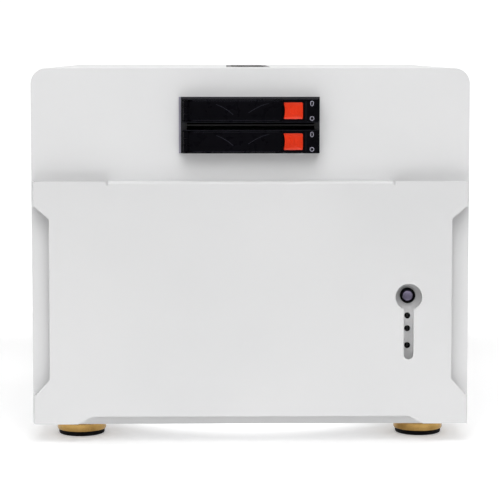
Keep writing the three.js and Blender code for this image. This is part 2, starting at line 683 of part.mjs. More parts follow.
// Flat lever that swings out from an upright pin at its left end.
function ssdLeverBody() {
  const tall = SSD_LEVER.height / 2;
  const back = SSD.front + SSD_LEVER.thickness;
  const pivotY = SSD.front + 2.6;
  const plate = block([SSD_LEVER.left, SSD_LEVER.right], [SSD.front, back], [-tall, tall]);
  const neck = block(
    [SSD_LEVER.pivotX, SSD_LEVER.left + 1],
    [SSD.front + 0.9, SSD.front + 3.4],
    [-tall + 1, tall - 1],
  );
  const knuckle = rod('z', [SSD_LEVER.pivotX, pivotY, -tall + 0.2], 2 * tall - 0.4, 2.5, 14);
  const pin = rod('z', [SSD_LEVER.pivotX, pivotY, -tall - 0.9], 2 * tall + 1.8, 1, 10);
  return join(plate, neck, knuckle, pin);
}

function ssdButtonBody() {
  const tall = SSD_BUTTON.height / 2;
  return frontPlate(roundedRect([SSD_BUTTON.left, SSD_BUTTON.right], [-tall, tall], 1.2), SSD.front + 0.2,
    SSD.front + SSD_BUTTON.thickness, 4);
}

// ---------------------------------------------------------------- fans

// Square frame with a round duct, and a motor seat on four spokes at its back. Y is from the frame's front.
function fanFrameBody() {
  const half = FAN.size / 2;
  const body = frontPlate(roundedRect([-half, half], [-half, half], 5), 0, FAN.depth, 3);
  const duct = rod('y', [0, -SHORT, 0], FAN.depth + 2, FAN.ductRadius, 36);
  const holes = corners(0, 0, FAN.holePitch, FAN.holePitch)
    .map(([x, z]) => rod('y', [x, -SHORT, z], FAN.depth + 2, 2.2, 6));
  const seat = rod('y', [0, FAN.depth - 3, 0], 3, ROTOR.hubRadius + 1, 20);
  const reach = FAN.ductRadius + 1;
  const spokes = [
    block([-reach, reach], [FAN.depth - 3, FAN.depth], [-2, 2]),
    block([-2, 2], [FAN.depth - 3, FAN.depth], [-reach, reach]),
  ];
  return join(cut(body, duct, ...holes), seat, ...spokes);
}

// One blade: a flat plate pitched across the air stream.
function bladeBody(turn) {
  const inner = ROTOR.hubRadius - 2;
  const span = ROTOR.tipRadius - inner - 1;
  const blade = new THREE.BoxGeometry(span, 1.6, 20);
  blade.rotateX(THREE.MathUtils.degToRad(-50));
  blade.translate(inner + span / 2, ROTOR.depth / 2, 0);
  blade.rotateY(turn);
  return toSolid(blade);
}

function fanRotorBody() {
  const hub = turned([
    [0, 0],
    [ROTOR.hubRadius - 2, 0],
    [ROTOR.hubRadius, 2],
    [ROTOR.hubRadius, ROTOR.depth],
    [0, ROTOR.depth],
  ], 24, 'y');
  const step = (2 * Math.PI) / ROTOR.blades;
  const blades = Array.from({ length: ROTOR.blades }, (_, index) => bladeBody(index * step));
  return join(hub, ...blades);
}

// Rings of wire on a cross of wire that ends in four screw eyes. Y is from the rear panel.
function fanGuardBody() {
  const { wire, centre } = GUARD;
  const ring = (radius) => turned([
    [radius - wire, centre],
    [radius, centre - wire],
    [radius + wire, centre],
    [radius, centre + wire],
    [radius - wire, centre],
  ], 24, 'y');
  const diagonal = FAN.holePitch / Math.SQRT2;
  const spoke = (angle) => {
    const bar = new THREE.BoxGeometry(2 * diagonal - 6, 1.8, 2.2);
    bar.rotateY(angle);
    bar.translate(0, 1.3, 0);
    return toSolid(bar);
  };
  const screwPlaces = corners(0, 0, FAN.holePitch, FAN.holePitch);
  const eyes = screwPlaces.map(([x, z]) => rod('y', [x, 0.4, z], 1.8, 4.4, 8));
  const holes = screwPlaces.map(([x, z]) => rod('y', [x, -SHORT, z], 4, 2.2, 6));
  return cut(
    join(ring(52), ring(37), ring(22), spoke(Math.PI / 4), spoke(-Math.PI / 4), ...eyes),
    ...holes,
  );
}

// ---------------------------------------------------------------- assembly

addPiece('front_plate', toGeometry(frontPlateBody()), 'whitePaint');
addPiece('top_cover', toGeometry(topCoverBody()), 'whitePaint');
addPiece('base_pan', toGeometry(basePanBody()), 'whitePaint');
addPiece('rear_panel', toGeometry(rearPanelBody()), 'whitePaint');
addPiece('motherboard_deck', toGeometry(deckBody()), 'whitePaint');
addPiece('top_vent', toGeometry(topVentBody()), 'blackPlastic');

const slotCover = toGeometry(slotCoverBody());
slotCentres().forEach((x, index) => addPiece(`slot_cover_${index + 1}`, slotCover, 'zincSteel', [x, 0, 0]));
addPiece('slot_retainer', toGeometry(slotRetainerBody()), 'zincSteel');

const footRing = toGeometry(footRingBody());
const footPad = toGeometry(footPadBody());
corners(0, 0, 2 * FOOT.x, 2 * FOOT.y).forEach(([x, y]) => {
  const place = `${y < 0 ? 'front' : 'rear'}_${x < 0 ? 'left' : 'right'}`;
  addPiece(`foot_ring_${place}`, footRing, 'goldMetal', [x, y, 0]);
  addPiece(`foot_pad_${place}`, footPad, 'rubber', [x, y, 0]);
});

addPiece('door_panel', toGeometry(doorBody()), 'whitePaint');
const doorMagnet = toGeometry(doorMagnetBody());
addPiece('door_magnet_left', doorMagnet, 'magnetSteel', [-MAGNET.x, 0, MAGNET.z]);
addPiece('door_magnet_right', doorMagnet, 'magnetSteel', [MAGNET.x, 0, MAGNET.z]);

addPiece('power_button_bezel', toGeometry(buttonBezelBody()), 'blackPlastic', [KEYHOLE.x, 0, KEYHOLE.z]);
addPiece('power_button_cap', toGeometry(buttonCapBody()), 'greyPlastic', [KEYHOLE.x, 0, KEYHOLE.z]);
addPiece('status_light_pipe', toGeometry(lightPipeBody()), 'smokedLens');

addPiece('drive_guide_lower', toGeometry(driveGuideBody(1)), 'zincSteel');
addPiece('drive_guide_upper', toGeometry(driveGuideBody(-1)), 'zincSteel');
addPiece('drive_cage_wall_left', toGeometry(cageWallBody(WALL_LEFT)), 'zincSteel');
addPiece('drive_cage_wall_right', toGeometry(cageWallBody(WALL_RIGHT)), 'zincSteel');
addPiece('hdd_backplane', toGeometry(hddBackplaneBody()), 'circuitBoard');
const hddTray = toGeometry(hddTrayBody());
const hddLatch = toGeometry(hddLatchBody());
trayCentres().forEach((x, index) => {
  addPiece(`hdd_tray_${index + 1}`, hddTray, 'blackPlastic', [x, 0, TRAY_MID]);
  addPiece(`hdd_latch_${index + 1}`, hddLatch, 'greyPlastic', [x, 0, TRAY_MID]);
});

addPiece('ssd_cage', toGeometry(ssdCageBody()), 'blackPlastic');
addPiece('ssd_backplane', toGeometry(ssdBackplaneBody()), 'circuitBoard');
const ssdTray = toGeometry(ssdTrayBody());
const ssdLever = toGeometry(ssdLeverBody());
const ssdButton = toGeometry(ssdButtonBody());
SSD_TRAY_Z.forEach((z, index) => {
  addPiece(`ssd_tray_${index + 1}`, ssdTray, 'blackPlastic', [0, 0, z]);
  addPiece(`ssd_lever_${index + 1}`, ssdLever, 'blackPlastic', [0, 0, z]);
  addPiece(`ssd_release_button_${index + 1}`, ssdButton, 'redPlastic', [0, 0, z]);
});

const fanFrame = toGeometry(fanFrameBody());
const fanRotor = toGeometry(fanRotorBody());
const fanGuard = toGeometry(fanGuardBody());
const fanFront = REAR_FACE - SHEET - GAP - FAN.depth;
FAN.x.forEach((x, index) => {
  addPiece(`fan_frame_${index + 1}`, fanFrame, 'blackPlastic', [x, fanFront, FAN.z]);
  addPiece(`fan_rotor_${index + 1}`, fanRotor, 'blackPlastic', [x, fanFront + 1.5, FAN.z]);
  addPiece(`fan_guard_${index + 1}`, fanGuard, 'blackWire', [x, REAR_FACE, FAN.z]);
});

export default group;
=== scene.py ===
"""A white desktop NAS enclosure: folded sheet steel, a pull-off drive door, a black two-tray
module with orange-red release buttons and four gold-ringed feet, on a plain pale floor."""
import json
import math

import bmesh
import bpy
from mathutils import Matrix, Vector


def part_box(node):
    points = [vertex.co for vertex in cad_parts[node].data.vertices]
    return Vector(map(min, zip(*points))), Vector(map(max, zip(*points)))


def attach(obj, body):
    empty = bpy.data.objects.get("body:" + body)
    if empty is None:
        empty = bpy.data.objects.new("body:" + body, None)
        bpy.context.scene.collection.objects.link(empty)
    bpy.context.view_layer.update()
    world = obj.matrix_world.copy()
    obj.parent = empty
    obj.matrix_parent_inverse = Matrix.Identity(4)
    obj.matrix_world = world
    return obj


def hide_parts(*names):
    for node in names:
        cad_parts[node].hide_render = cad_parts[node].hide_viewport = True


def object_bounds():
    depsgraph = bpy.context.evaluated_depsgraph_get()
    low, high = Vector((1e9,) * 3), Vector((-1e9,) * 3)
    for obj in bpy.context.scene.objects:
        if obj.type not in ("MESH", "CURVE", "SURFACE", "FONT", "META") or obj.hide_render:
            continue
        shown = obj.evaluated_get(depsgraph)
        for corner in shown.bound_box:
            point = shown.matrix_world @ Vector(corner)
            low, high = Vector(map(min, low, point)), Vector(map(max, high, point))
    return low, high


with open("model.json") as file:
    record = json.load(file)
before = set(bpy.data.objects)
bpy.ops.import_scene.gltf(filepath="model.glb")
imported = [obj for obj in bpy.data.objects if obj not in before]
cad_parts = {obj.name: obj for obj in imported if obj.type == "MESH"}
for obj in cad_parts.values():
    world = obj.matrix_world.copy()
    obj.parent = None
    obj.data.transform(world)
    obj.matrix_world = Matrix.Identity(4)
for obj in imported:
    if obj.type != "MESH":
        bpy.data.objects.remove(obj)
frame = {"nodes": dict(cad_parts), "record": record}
CAD_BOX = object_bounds()
NODES = frame["nodes"]

MM = 0.001

# ------ outlines


def arc(centre, radius, start, end, steps=12):
    """Points on an arc between two angles in degrees, both ends included."""
    points = []
    for step in range(steps + 1):
        angle = math.radians(start + (end - start) * step / steps)
        points.append((centre[0] + radius * math.cos(angle), centre[1] + radius * math.sin(angle)))
    return points


def circle(centre, radius, steps=48):
    """Points around a whole circle."""
    return arc(centre, radius, 0, 360, steps)[:-1]


def rounded(low, high, radius, steps=6):
    """A rectangle between two corners, with round corners."""
    (u0, v0), (u1, v1) = low, high
    loop = arc((u1 - radius, v0 + radius), radius, -90, 0, steps)
    loop += arc((u1 - radius, v1 - radius), radius, 0, 90, steps)
    loop += arc((u0 + radius, v1 - radius), radius, 90, 180, steps)
    loop += arc((u0 + radius, v0 + radius), radius, 180, 270, steps)
    return loop


def rectangle(low, high):
    """The four corners between two corners."""
    (u0, v0), (u1, v1) = low, high
    return [(u0, v0), (u1, v0), (u1, v1), (u0, v1)]


def slot_loop(centre, width, length, steps=6):
    """An upright slot with round ends."""
    u, v = centre
    radius = width / 2
    reach = length / 2 - radius
    return arc((u, v + reach), radius, 0, 180, steps) + arc((u, v - reach), radius, 180, 360, steps)


def hexagon(centre, radius):
    """A hexagon with two upright sides."""
    return arc(centre, radius, 30, 330, 5)


def corners(centre, reach):
    """Four points around a centre, as far to its sides as above and below it."""
    return [(centre[0] + a * reach, centre[1] + b * reach) for a in (-1, 1) for b in (-1, 1)]


def box_middle(node):
    """The middle of a node's box as seen from the front: (x, z)."""
    low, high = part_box(node)
    return (low.x + high.x) / 2, (low.z + high.z) / 2


# ------ mesh tools


def facing_front(u, v, depth):
    """Puts an outline upright, facing the front."""
    return Vector((u, depth, v))


def facing_up(u, v, depth):
    """Puts an outline level, facing up."""
    return Vector((u, v, depth))


def facing_side(u, v, depth):
    """Puts an outline upright, facing the side."""
    return Vector((depth, u, v))


def filled(loops):
    """A flat mesh of the area inside the first loop and outside the others, in local X and Y."""
    curve = bpy.data.curves.new("outline", "CURVE")
    curve.dimensions = "2D"
    curve.fill_mode = "FRONT"
    for loop in loops:
        spline = curve.splines.new("POLY")
        spline.points.add(len(loop) - 1)
        spline.use_cyclic_u = True
        for point, (u, v) in zip(spline.points, loop):
            point.co = (u, v, 0, 1)
    holder = bpy.data.objects.new("outline", curve)
    mesh = bpy.data.meshes.new_from_object(holder)
    bpy.data.objects.remove(holder)
    bpy.data.curves.remove(curve)
    return mesh


def add_flat(bm, loops, place, depth):
    """Adds a filled outline to bm as flat faces at one depth, and returns the faces."""
    mesh = filled(loops)
    made = [bm.verts.new(place(v.co.x, v.co.y, depth)) for v in mesh.vertices]
    faces = [bm.faces.new([made[i] for i in polygon.vertices]) for polygon in mesh.polygons]
    bpy.data.meshes.remove(mesh)
    return faces


def add_strip(bm, first, second):
    """Adds a strip of quads between two rows of points of the same length."""
    rows = [[bm.verts.new(point) for point in row] for row in (first, second)]
    for i in range(len(first) - 1):
        bm.faces.new((rows[0][i], rows[0][i + 1], rows[1][i + 1], rows[1][i]))


def weld(bm):
    """Joins vertices that lie in the same place."""
    bmesh.ops.remove_doubles(bm, verts=bm.verts, dist=0.01 * MM)


def plate_into(bm, loops, front, back, place=facing_front):
    """Adds a closed flat plate to bm, between two depths."""
    part = bmesh.new()
    add_flat(part, loops, place, front)
    weld(part)
    bmesh.ops.dissolve_limit(part, angle_limit=math.radians(1), verts=part.verts, edges=part.edges)
    bmesh.ops.triangulate(part, faces=[face for face in part.faces if len(face.verts) > 4])
    grown = bmesh.ops.extrude_face_region(part, geom=list(part.faces))
    moved = [item for item in grown["geom"] if isinstance(item, bmesh.types.BMVert)]
    bmesh.ops.translate(part, verts=moved, vec=place(0, 0, back) - place(0, 0, front))
    bmesh.ops.recalc_face_normals(part, faces=part.faces)
    copy_into(bm, part)


def copy_into(bm, part):
    """Moves all of one mesh into another, and frees the first."""
    mesh = bpy.data.meshes.new("part")
    part.to_mesh(mesh)
    part.free()
    bm.from_mesh(mesh)
    bpy.data.meshes.remove(mesh)


def lathe_into(bm, profile, centre, axis, steps=64):
    """Adds a turned body: profile is (radius, along) from one end of the axis to the other."""
    part = bmesh.new()
    rings = []
    for radius, along in profile:
        if radius < 1e-7:
            rings.append([part.verts.new(turned_point(centre, axis, 0, 0, along))])
            continue
        rings.append([
            part.verts.new(turned_point(centre, axis, radius, 2 * math.pi * step / steps, along))
            for step in range(steps)
        ])
    for low, high in zip(rings, rings[1:]):
        for step in range(steps):
            after = (step + 1) % steps
            around = [low[step % len(low)], low[after % len(low)]]
            around += [high[after % len(high)], high[step % len(high)]]
            around = list(dict.fromkeys(around))
            if len(around) > 2:
                part.faces.new(around)
    bmesh.ops.recalc_face_normals(part, faces=part.faces)
    copy_into(bm, part)


def turned_point(centre, axis, radius, angle, along):
    """A point at an angle and a radius around an axis through a centre."""
    across = radius * math.cos(angle)
    over = radius * math.sin(angle)
    offset = {"x": (along, across, over), "y": (across, along, over), "z": (across, over, along)}[axis]
    return Vector(centre) + Vector(offset)


def tube_into(bm, path, radius, closed=False, sides=10):
    """Adds a bent wire to bm: the path lies in a plane that faces the front."""
    part = bmesh.new()
    across = Vector((0, 1, 0))
    rings = []
    for i, point in enumerate(path):
        before = path[i - 1] if closed or i else point
        after = path[(i + 1) % len(path)] if closed or i + 1 < len(path) else point
        over = (after - before).normalized().cross(across)
        rings.append([
            part.verts.new(point + radius * (math.cos(turn) * across + math.sin(turn) * over))
            for turn in (2 * math.pi * side / sides for side in range(sides))
        ])
    pairs = list(zip(rings, rings[1:]))
    if closed:
        pairs.append((rings[-1], rings[0]))
    for first, second in pairs:
        for side in range(sides):
            after = (side + 1) % sides
            part.faces.new((first[side], first[after], second[after], second[side]))
    if not closed:
        part.faces.new(rings[0])
        part.faces.new(rings[-1])
    bmesh.ops.recalc_face_normals(part, faces=part.faces)
    copy_into(bm, part)


def ridge_into(bm, path, width, front, back):
    """Adds a narrow raised line to bm, along a path of (u, v) points."""
    sides = ([], [])
    for i, point in enumerate(path):
        before = Vector(path[max(i - 1, 0)])
        after = Vector(path[min(i + 1, len(path) - 1)])
        along = (after - before).normalized()
        normal = Vector((-along.y, along.x)) * width / 2
        sides[0].append(tuple(Vector(point) + normal))
        sides[1].append(tuple(Vector(point) - normal))
    plate_into(bm, [sides[0] + sides[1][::-1]], front, back)


def dish(bm, toward, rim, depth):
    """Sinks the faces that look along a direction, inside a rim."""
    faces = [face for face in bm.faces if face.normal.dot(toward) > 0.99]
    bmesh.ops.inset_region(bm, faces=faces, thickness=rim, depth=-depth, use_even_offset=True)


def piece(name, bm, look, body, replaces=(), bevel=0, thickness=0):
    """Makes an object from bm with its material and bevel, and ties it to the frame."""
    mesh = bpy.data.meshes.new(name)
    bm.to_mesh(mesh)
    bm.free()
    mesh.materials.append(look)
    obj = bpy.data.objects.new(name, mesh)
    bpy.context.scene.collection.objects.link(obj)
    if thickness:
        solidify = obj.modifiers.new("sheet", "SOLIDIFY")
        solidify.thickness = thickness
        solidify.offset = -1
        solidify.use_even_offset = True
    if bevel:
        soften(obj, bevel)
    smooth(mesh)
    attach(obj, body)
    if replaces:
        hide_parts(*replaces)
    return obj


def soften(obj, width, segments=2):
    """Rounds the sharp edges of an object without moving its faces."""
    edge = obj.modifiers.new("edge", "BEVEL")
    edge.width = width
    edge.segments = segments
    edge.limit_method = "ANGLE"
    edge.angle_limit = math.radians(40)
    edge.harden_normals = True


def smooth(mesh):
    """Shades a mesh smooth, apart from its sharp edges."""
    for polygon in mesh.polygons:
        polygon.use_smooth = True
    mesh.set_sharp_from_angle(angle=math.radians(40))


# ------ materials


class Look:
    """A node material being built: one Principled shader and the textures that feed it."""

    def __init__(self, name, colour, roughness, metallic=0.0):
        """Starts a material with one colour, one roughness and its textures' coordinates."""
        self.material = bpy.data.materials.new(name)
        self.material.use_nodes = True
        self.nodes = self.material.node_tree.nodes
        self.links = self.material.node_tree.links
        self.shader = self.nodes["Principled BSDF"]
        self.shader.inputs["Base Color"].default_value = (*colour, 1)
        self.shader.inputs["Roughness"].default_value = roughness
        self.shader.inputs["Metallic"].default_value = metallic
        self.where = self.nodes.new("ShaderNodeTexCoord").outputs["Object"]
        self.material.diffuse_color = (*colour, 1)

    def feed(self, node, values):
        """Sets a node's sockets: each takes a number, a colour or the output of another node."""
        for socket, value in values.items():
            if isinstance(value, bpy.types.NodeSocket):
                self.links.new(value, node.inputs[socket])
            else:
                node.inputs[socket].default_value = value

    def node(self, kind, values, operation=None):
        """Adds a node and sets its sockets."""
        node = self.nodes.new(kind)
        if operation:
            node.operation = operation
        self.feed(node, values)
        return node

    def stretched(self, scale):
        """The place on the surface, with its axes scaled."""
        return self.node("ShaderNodeMapping", {"Scale": scale, "Vector": self.where}).outputs["Vector"]

    def noise(self, scale, detail=3.0, where=None):
        """Soft random spots: a higher scale makes them smaller."""
        values = {"Scale": scale, "Detail": detail, "Roughness": 0.5, "Vector": where or self.where}
        return self.node("ShaderNodeTexNoise", values).outputs["Fac"]

    def tint(self, factor, low, high):
        """Varies the colour between two colours, by the middle of a noise factor."""
        ramp = self.node("ShaderNodeValToRGB", {"Fac": factor})
        for element, place, colour in zip(ramp.color_ramp.elements, (0.3, 0.7), (low, high)):
            element.position = place
            element.color = (*colour, 1)
        self.feed(self.shader, {"Base Color": ramp.outputs["Color"]})

    def gloss(self, factor, low, high):
        """Varies the roughness between two values, by the middle of a noise factor."""
        self.feed(self.shader, {"Roughness": map_range(self, factor, 0.3, 0.7, low, high)})

    def bump(self, height, distance, strength=1.0):
        """Adds relief on top of any relief that the shader already has."""
        values = {"Distance": distance, "Strength": strength, "Height": height}
        normal = self.shader.inputs["Normal"]
        if normal.is_linked:
            values["Normal"] = normal.links[0].from_socket
        self.feed(self.shader, {"Normal": self.node("ShaderNodeBump", values).outputs["Normal"]})


def map_range(look, value, start, end, low, high):
    """Maps a number from one range onto another, held at both ends."""
    values = {"From Min": start, "From Max": end, "To Min": low, "To Max": high, "Value": value}
    return look.node("ShaderNodeMapRange", values).outputs["Result"]


def white_paint(name, level):
    """Powder coat: a fine sandy grain with a soft orange peel under it."""
    look = Look(name, (level, level, level), 0.5)
    darker = (level * 0.98, level * 0.983, level * 0.99)
    look.tint(look.noise(9, 2), darker, (level * 1.02, level * 1.02, level * 1.025))
    look.gloss(look.noise(60, 4), 0.42, 0.56)
    look.bump(look.noise(420, 2), 0.02 * MM, 0.5)
    look.bump(look.noise(2600, 3), 0.03 * MM, 0.8)
    look.feed(look.shader, {"Specular IOR Level": 0.45})
    return look.material


def moulded(name, colour, roughness, grain=1900, depth=0.03, shine=0.5):
    """Satin moulded plastic with an eroded grain."""
    look = Look(name, colour, roughness)
    look.feed(look.shader, {"Specular IOR Level": shine})
    darker = tuple(channel * 0.8 for channel in colour)
    lighter = tuple(min(channel * 1.2, 1) for channel in colour)
    look.tint(look.noise(35, 4), darker, lighter)
    look.gloss(look.noise(140, 5), roughness - 0.07, roughness + 0.07)
    look.bump(look.noise(grain, 4), depth * MM, 0.7)
    return look.material


def black_coat():
    """Thin black paint on sheet metal."""
    look = Look("black_coat", (0.013, 0.012, 0.015), 0.38, 0.0)
    look.tint(look.noise(30, 3), (0.010, 0.010, 0.012), (0.018, 0.017, 0.021))
    look.gloss(look.noise(90, 4), 0.3, 0.44)
    look.bump(look.noise(1500, 3), 0.02 * MM, 0.6)
    return look.material


def brushed_zinc():
    """Zinc-plated sheet with long rolling marks and a faint spangle."""
    look = Look("brushed_zinc", (0.55, 0.56, 0.57), 0.36, 1.0)
    grain = look.noise(40, 5, look.stretched((60, 2, 60)))
    look.tint(look.noise(55, 3), (0.47, 0.48, 0.50), (0.63, 0.64, 0.65))
    look.gloss(grain, 0.26, 0.46)
    look.bump(grain, 0.02 * MM, 0.5)
    return look.material


def turned_gold():
    """Gold-anodised aluminium with fine upright brush marks around the ring."""
    look = Look("turned_gold", (0.50, 0.31, 0.10), 0.24, 1.0)
    lines = look.noise(30, 3, look.stretched((180, 180, 4)))
    look.tint(look.noise(45, 3), (0.24, 0.13, 0.035), (0.66, 0.42, 0.14))
    look.gloss(lines, 0.12, 0.30)
    look.bump(lines, 0.02 * MM, 0.6)
    return look.material


def nickel():
    """Bright plated steel with an uneven gloss."""
    look = Look("nickel", (0.60, 0.60, 0.61), 0.2, 1.0)
    look.gloss(look.noise(200, 5), 0.12, 0.32)
    look.bump(look.noise(900, 3), 0.01 * MM, 0.5)
    return look.material


def anodised(name, colour):
    """Coloured aluminium with a fine blasted grain."""
    look = Look(name, colour, 0.35, 1.0)
    look.gloss(look.noise(300, 4), 0.26, 0.42)
    look.bump(look.noise(2400, 2), 0.01 * MM, 0.6)
    return look.material


def solder_mask():
    """Green circuit board with copper tracks showing through as lighter lines."""
    look = Look("solder_mask", (0.012, 0.075, 0.035), 0.3)
    upright = {"Rotation": (math.radians(90), 0, 0), "Vector": look.where}
    tracks = look.node("ShaderNodeTexBrick", {
        "Scale": 120,
        "Mortar Size": 0.06,
        "Color1": (0.010, 0.060, 0.028, 1),
        "Color2": (0.012, 0.072, 0.034, 1),
        "Mortar": (0.022, 0.125, 0.060, 1),
        "Vector": look.node("ShaderNodeMapping", upright).outputs["Vector"],
    })
    look.feed(look.shader, {"Base Color": tracks.outputs["Color"]})
    look.gloss(look.noise(120, 3), 0.24, 0.36)
    look.bump(tracks.outputs["Fac"], 0.03 * MM, 0.4)
    return look.material


def smoked():
    """Dark tinted lens with a thin clear coat."""
    look = Look("smoked_lens", (0.002, 0.002, 0.0025), 0.12)
    look.feed(look.shader, {"Specular IOR Level": 0.2})
    look.gloss(look.noise(60, 3), 0.08, 0.18)
    look.feed(look.shader, {"Coat Weight": 0.1})
    return look.material


WHITE = white_paint("white_paint", 0.80)
# The door's paint is a darker copy of the same white paint: painted shade, so the door reads darker than the
# plate above it.
SHADED_DOOR_WHITE = white_paint("door_paint_painted_shade", 0.745)
BLACK = moulded("black_plastic", (0.0020, 0.0018, 0.0032), 0.3, shine=0.06)
SATIN_BLACK = moulded("satin_black_plastic", (0.008, 0.008, 0.009), 0.42)
# Pale purple-grey: the pale rims around the tray windows, and a painted highlight on the module's left edge.
GREY_PRINT_AND_HIGHLIGHT = moulded("grey_print_and_highlight", (0.30, 0.29, 0.36), 0.45)
# A satin line colour lighter than the black plastic: the funnel ridges' own colour on the levers, and a
# painted highlight for the edge lines of levers and trays.
SATIN_LINE_AND_HIGHLIGHT = moulded("satin_line_and_highlight", (0.022, 0.022, 0.032), 0.4, shine=0.2)
DARK_GREY = moulded("dark_grey_plastic", (0.035, 0.033, 0.040), 0.42)
RED = moulded("red_plastic", (0.74, 0.033, 0.004), 0.38, grain=1200, depth=0.01, shine=0.25)
RUBBER = moulded("rubber", (0.003, 0.003, 0.003), 0.72, grain=900, depth=0.08, shine=0.12)
BLACK_COAT = black_coat()
ZINC = brushed_zinc()
GOLD = turned_gold()
NICKEL = nickel()
CAP = anodised("button_cap", (0.20, 0.18, 0.26))
BOARD = solder_mask()
LENS = smoked()

NODE_LOOKS = {
    "white_paint": WHITE,
    "zinc_steel": ZINC,
    "black_plastic": BLACK,
    "grey_plastic": DARK_GREY,
    "red_plastic": RED,
    "gold_metal": GOLD,
    "rubber": RUBBER,
    "circuit_board": BOARD,
    "smoked_lens": LENS,
    "magnet": NICKEL,
    "button_metal": CAP,
    "black_metal": BLACK_COAT,
}


def dress_nodes():
    """Gives every CAD node the look of its material slot, and soft edges."""
    for subpart in frame["record"]["subparts"]:
        obj = NODES[subpart["node"]]
        look = NODE_LOOKS[subpart["material_slot"]]
        for material_slot in obj.material_slots:
            material_slot.material = look
        if subpart["node"] == "rear_panel":
            continue  # its many holes leave slivers that the two modifiers would shade as lines
        flatten = obj.modifiers.new("flatten", "DECIMATE")
        flatten.decimate_type = "DISSOLVE"
        flatten.angle_limit = math.radians(1)
        soften(obj, 0.25 * MM)


# ------ drive door

DOOR_SHEET = 1.5 * MM
DOOR_BEND = 2.2 * MM
SIDE_BEND = 1.8 * MM
BENT_HALF = 110 * MM
RELIEF = 0.7 * MM
NOTCH_DEPTH = 12.8 * MM
NOTCH_LOW = (21 * MM, 35 * MM)  # outer and inner end above the door's lower edge
NOTCH_HIGH = (171 * MM, 160 * MM)
UNDER_NOTCH = (6 * MM, 134 * MM, 123 * MM)  # height, half width at its mouth and at its top
KEYHOLE_RADIUS = 10.3 * MM
KEYHOLE_SLOT = 3.8 * MM
KEYHOLE_DROP = 48.7 * MM  # from the round part's centre to the slot's lower end


def keyhole_loop():
    """A round hole over the power button, with a slot below it for the status lights."""
    centre = box_middle("power_button_bezel")
    opening = math.degrees(math.asin(KEYHOLE_SLOT / KEYHOLE_RADIUS))
    loop = arc(centre, KEYHOLE_RADIUS, -90 + opening, 270 - opening, 48)
    loop += arc((centre[0], centre[1] - KEYHOLE_DROP + KEYHOLE_SLOT), KEYHOLE_SLOT, 180, 360, 16)
    return loop


def half_door_loop(low, high):
    """The right half of the door's outline, from the notch in its lower edge to its top bend."""
    side = high.x - SIDE_BEND
    inner = high.x - NOTCH_DEPTH
    slope = (NOTCH_DEPTH - SIDE_BEND) / NOTCH_DEPTH
    low_z = low.z + NOTCH_LOW[1] - (NOTCH_LOW[1] - NOTCH_LOW[0]) * slope
    high_z = low.z + NOTCH_HIGH[1] + (NOTCH_HIGH[0] - NOTCH_HIGH[1]) * slope
    under, mouth, top = UNDER_NOTCH
    return [
        (top, low.z + under),
        (mouth, low.z),
        (side, low.z),
        (side, low_z),
        (inner, low.z + NOTCH_LOW[1]),
        (inner, low.z + NOTCH_HIGH[1]),
        (side, high_z),
        (side, high.z),
        (BENT_HALF + 2 * RELIEF, high.z),
        (BENT_HALF + 2 * RELIEF, high.z - DOOR_BEND - RELIEF),
        (BENT_HALF, high.z - DOOR_BEND - RELIEF),
        (BENT_HALF, high.z - DOOR_BEND),
    ]


def bend_profile(radius, reach, steps=8):
    """(out, back) along a right-angle bend: from the face, round the bend and along the flange."""
    turns = [math.radians(90 * step / steps) for step in range(steps + 1)]
    return [(radius * math.sin(turn), radius * (1 - math.cos(turn))) for turn in turns] + [(radius, reach)]


def build_door():
    """One folded sheet: the notched face with its keyhole, and flanges at its top and sides."""
    low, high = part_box("door_panel")
    front = low.y
    right = half_door_loop(low, high)
    loop = right + [(-u, v) for u, v in reversed(right)]
    bm = bmesh.new()
    add_flat(bm, [loop, keyhole_loop()], facing_front, front)
    flange = high.y - front
    top_row = [(high.z - DOOR_BEND + out, front + back) for out, back in bend_profile(DOOR_BEND, flange)]
    add_strip(bm, *([Vector((x, y, z)) for z, y in top_row] for x in (-BENT_HALF, BENT_HALF)))
    side_bend = bend_profile(SIDE_BEND, flange - 1 * MM)
    side_row = [(high.x - SIDE_BEND + out, front + back) for out, back in side_bend]
    low_end, high_start = right[3][1], right[6][1]
    for sign in (-1, 1):
        for z0, z1 in ((low.z, low_end), (high_start, high.z)):
            add_strip(bm, *([Vector((sign * x, y, z)) for x, y in side_row] for z in (z0, z1)))
    weld(bm)
    bmesh.ops.recalc_face_normals(bm, faces=bm.faces)
    face = min(bm.faces, key=lambda f: f.calc_center_median().y)
    if face.normal.y > 0:
        bmesh.ops.reverse_faces(bm, faces=bm.faces)
    # The door sheet takes the darker copy of the white paint: painted shade.
    piece("door_sheet", bm, SHADED_DOOR_WHITE, "door", ["door_panel"], 0.3 * MM, DOOR_SHEET)


# ------ feet


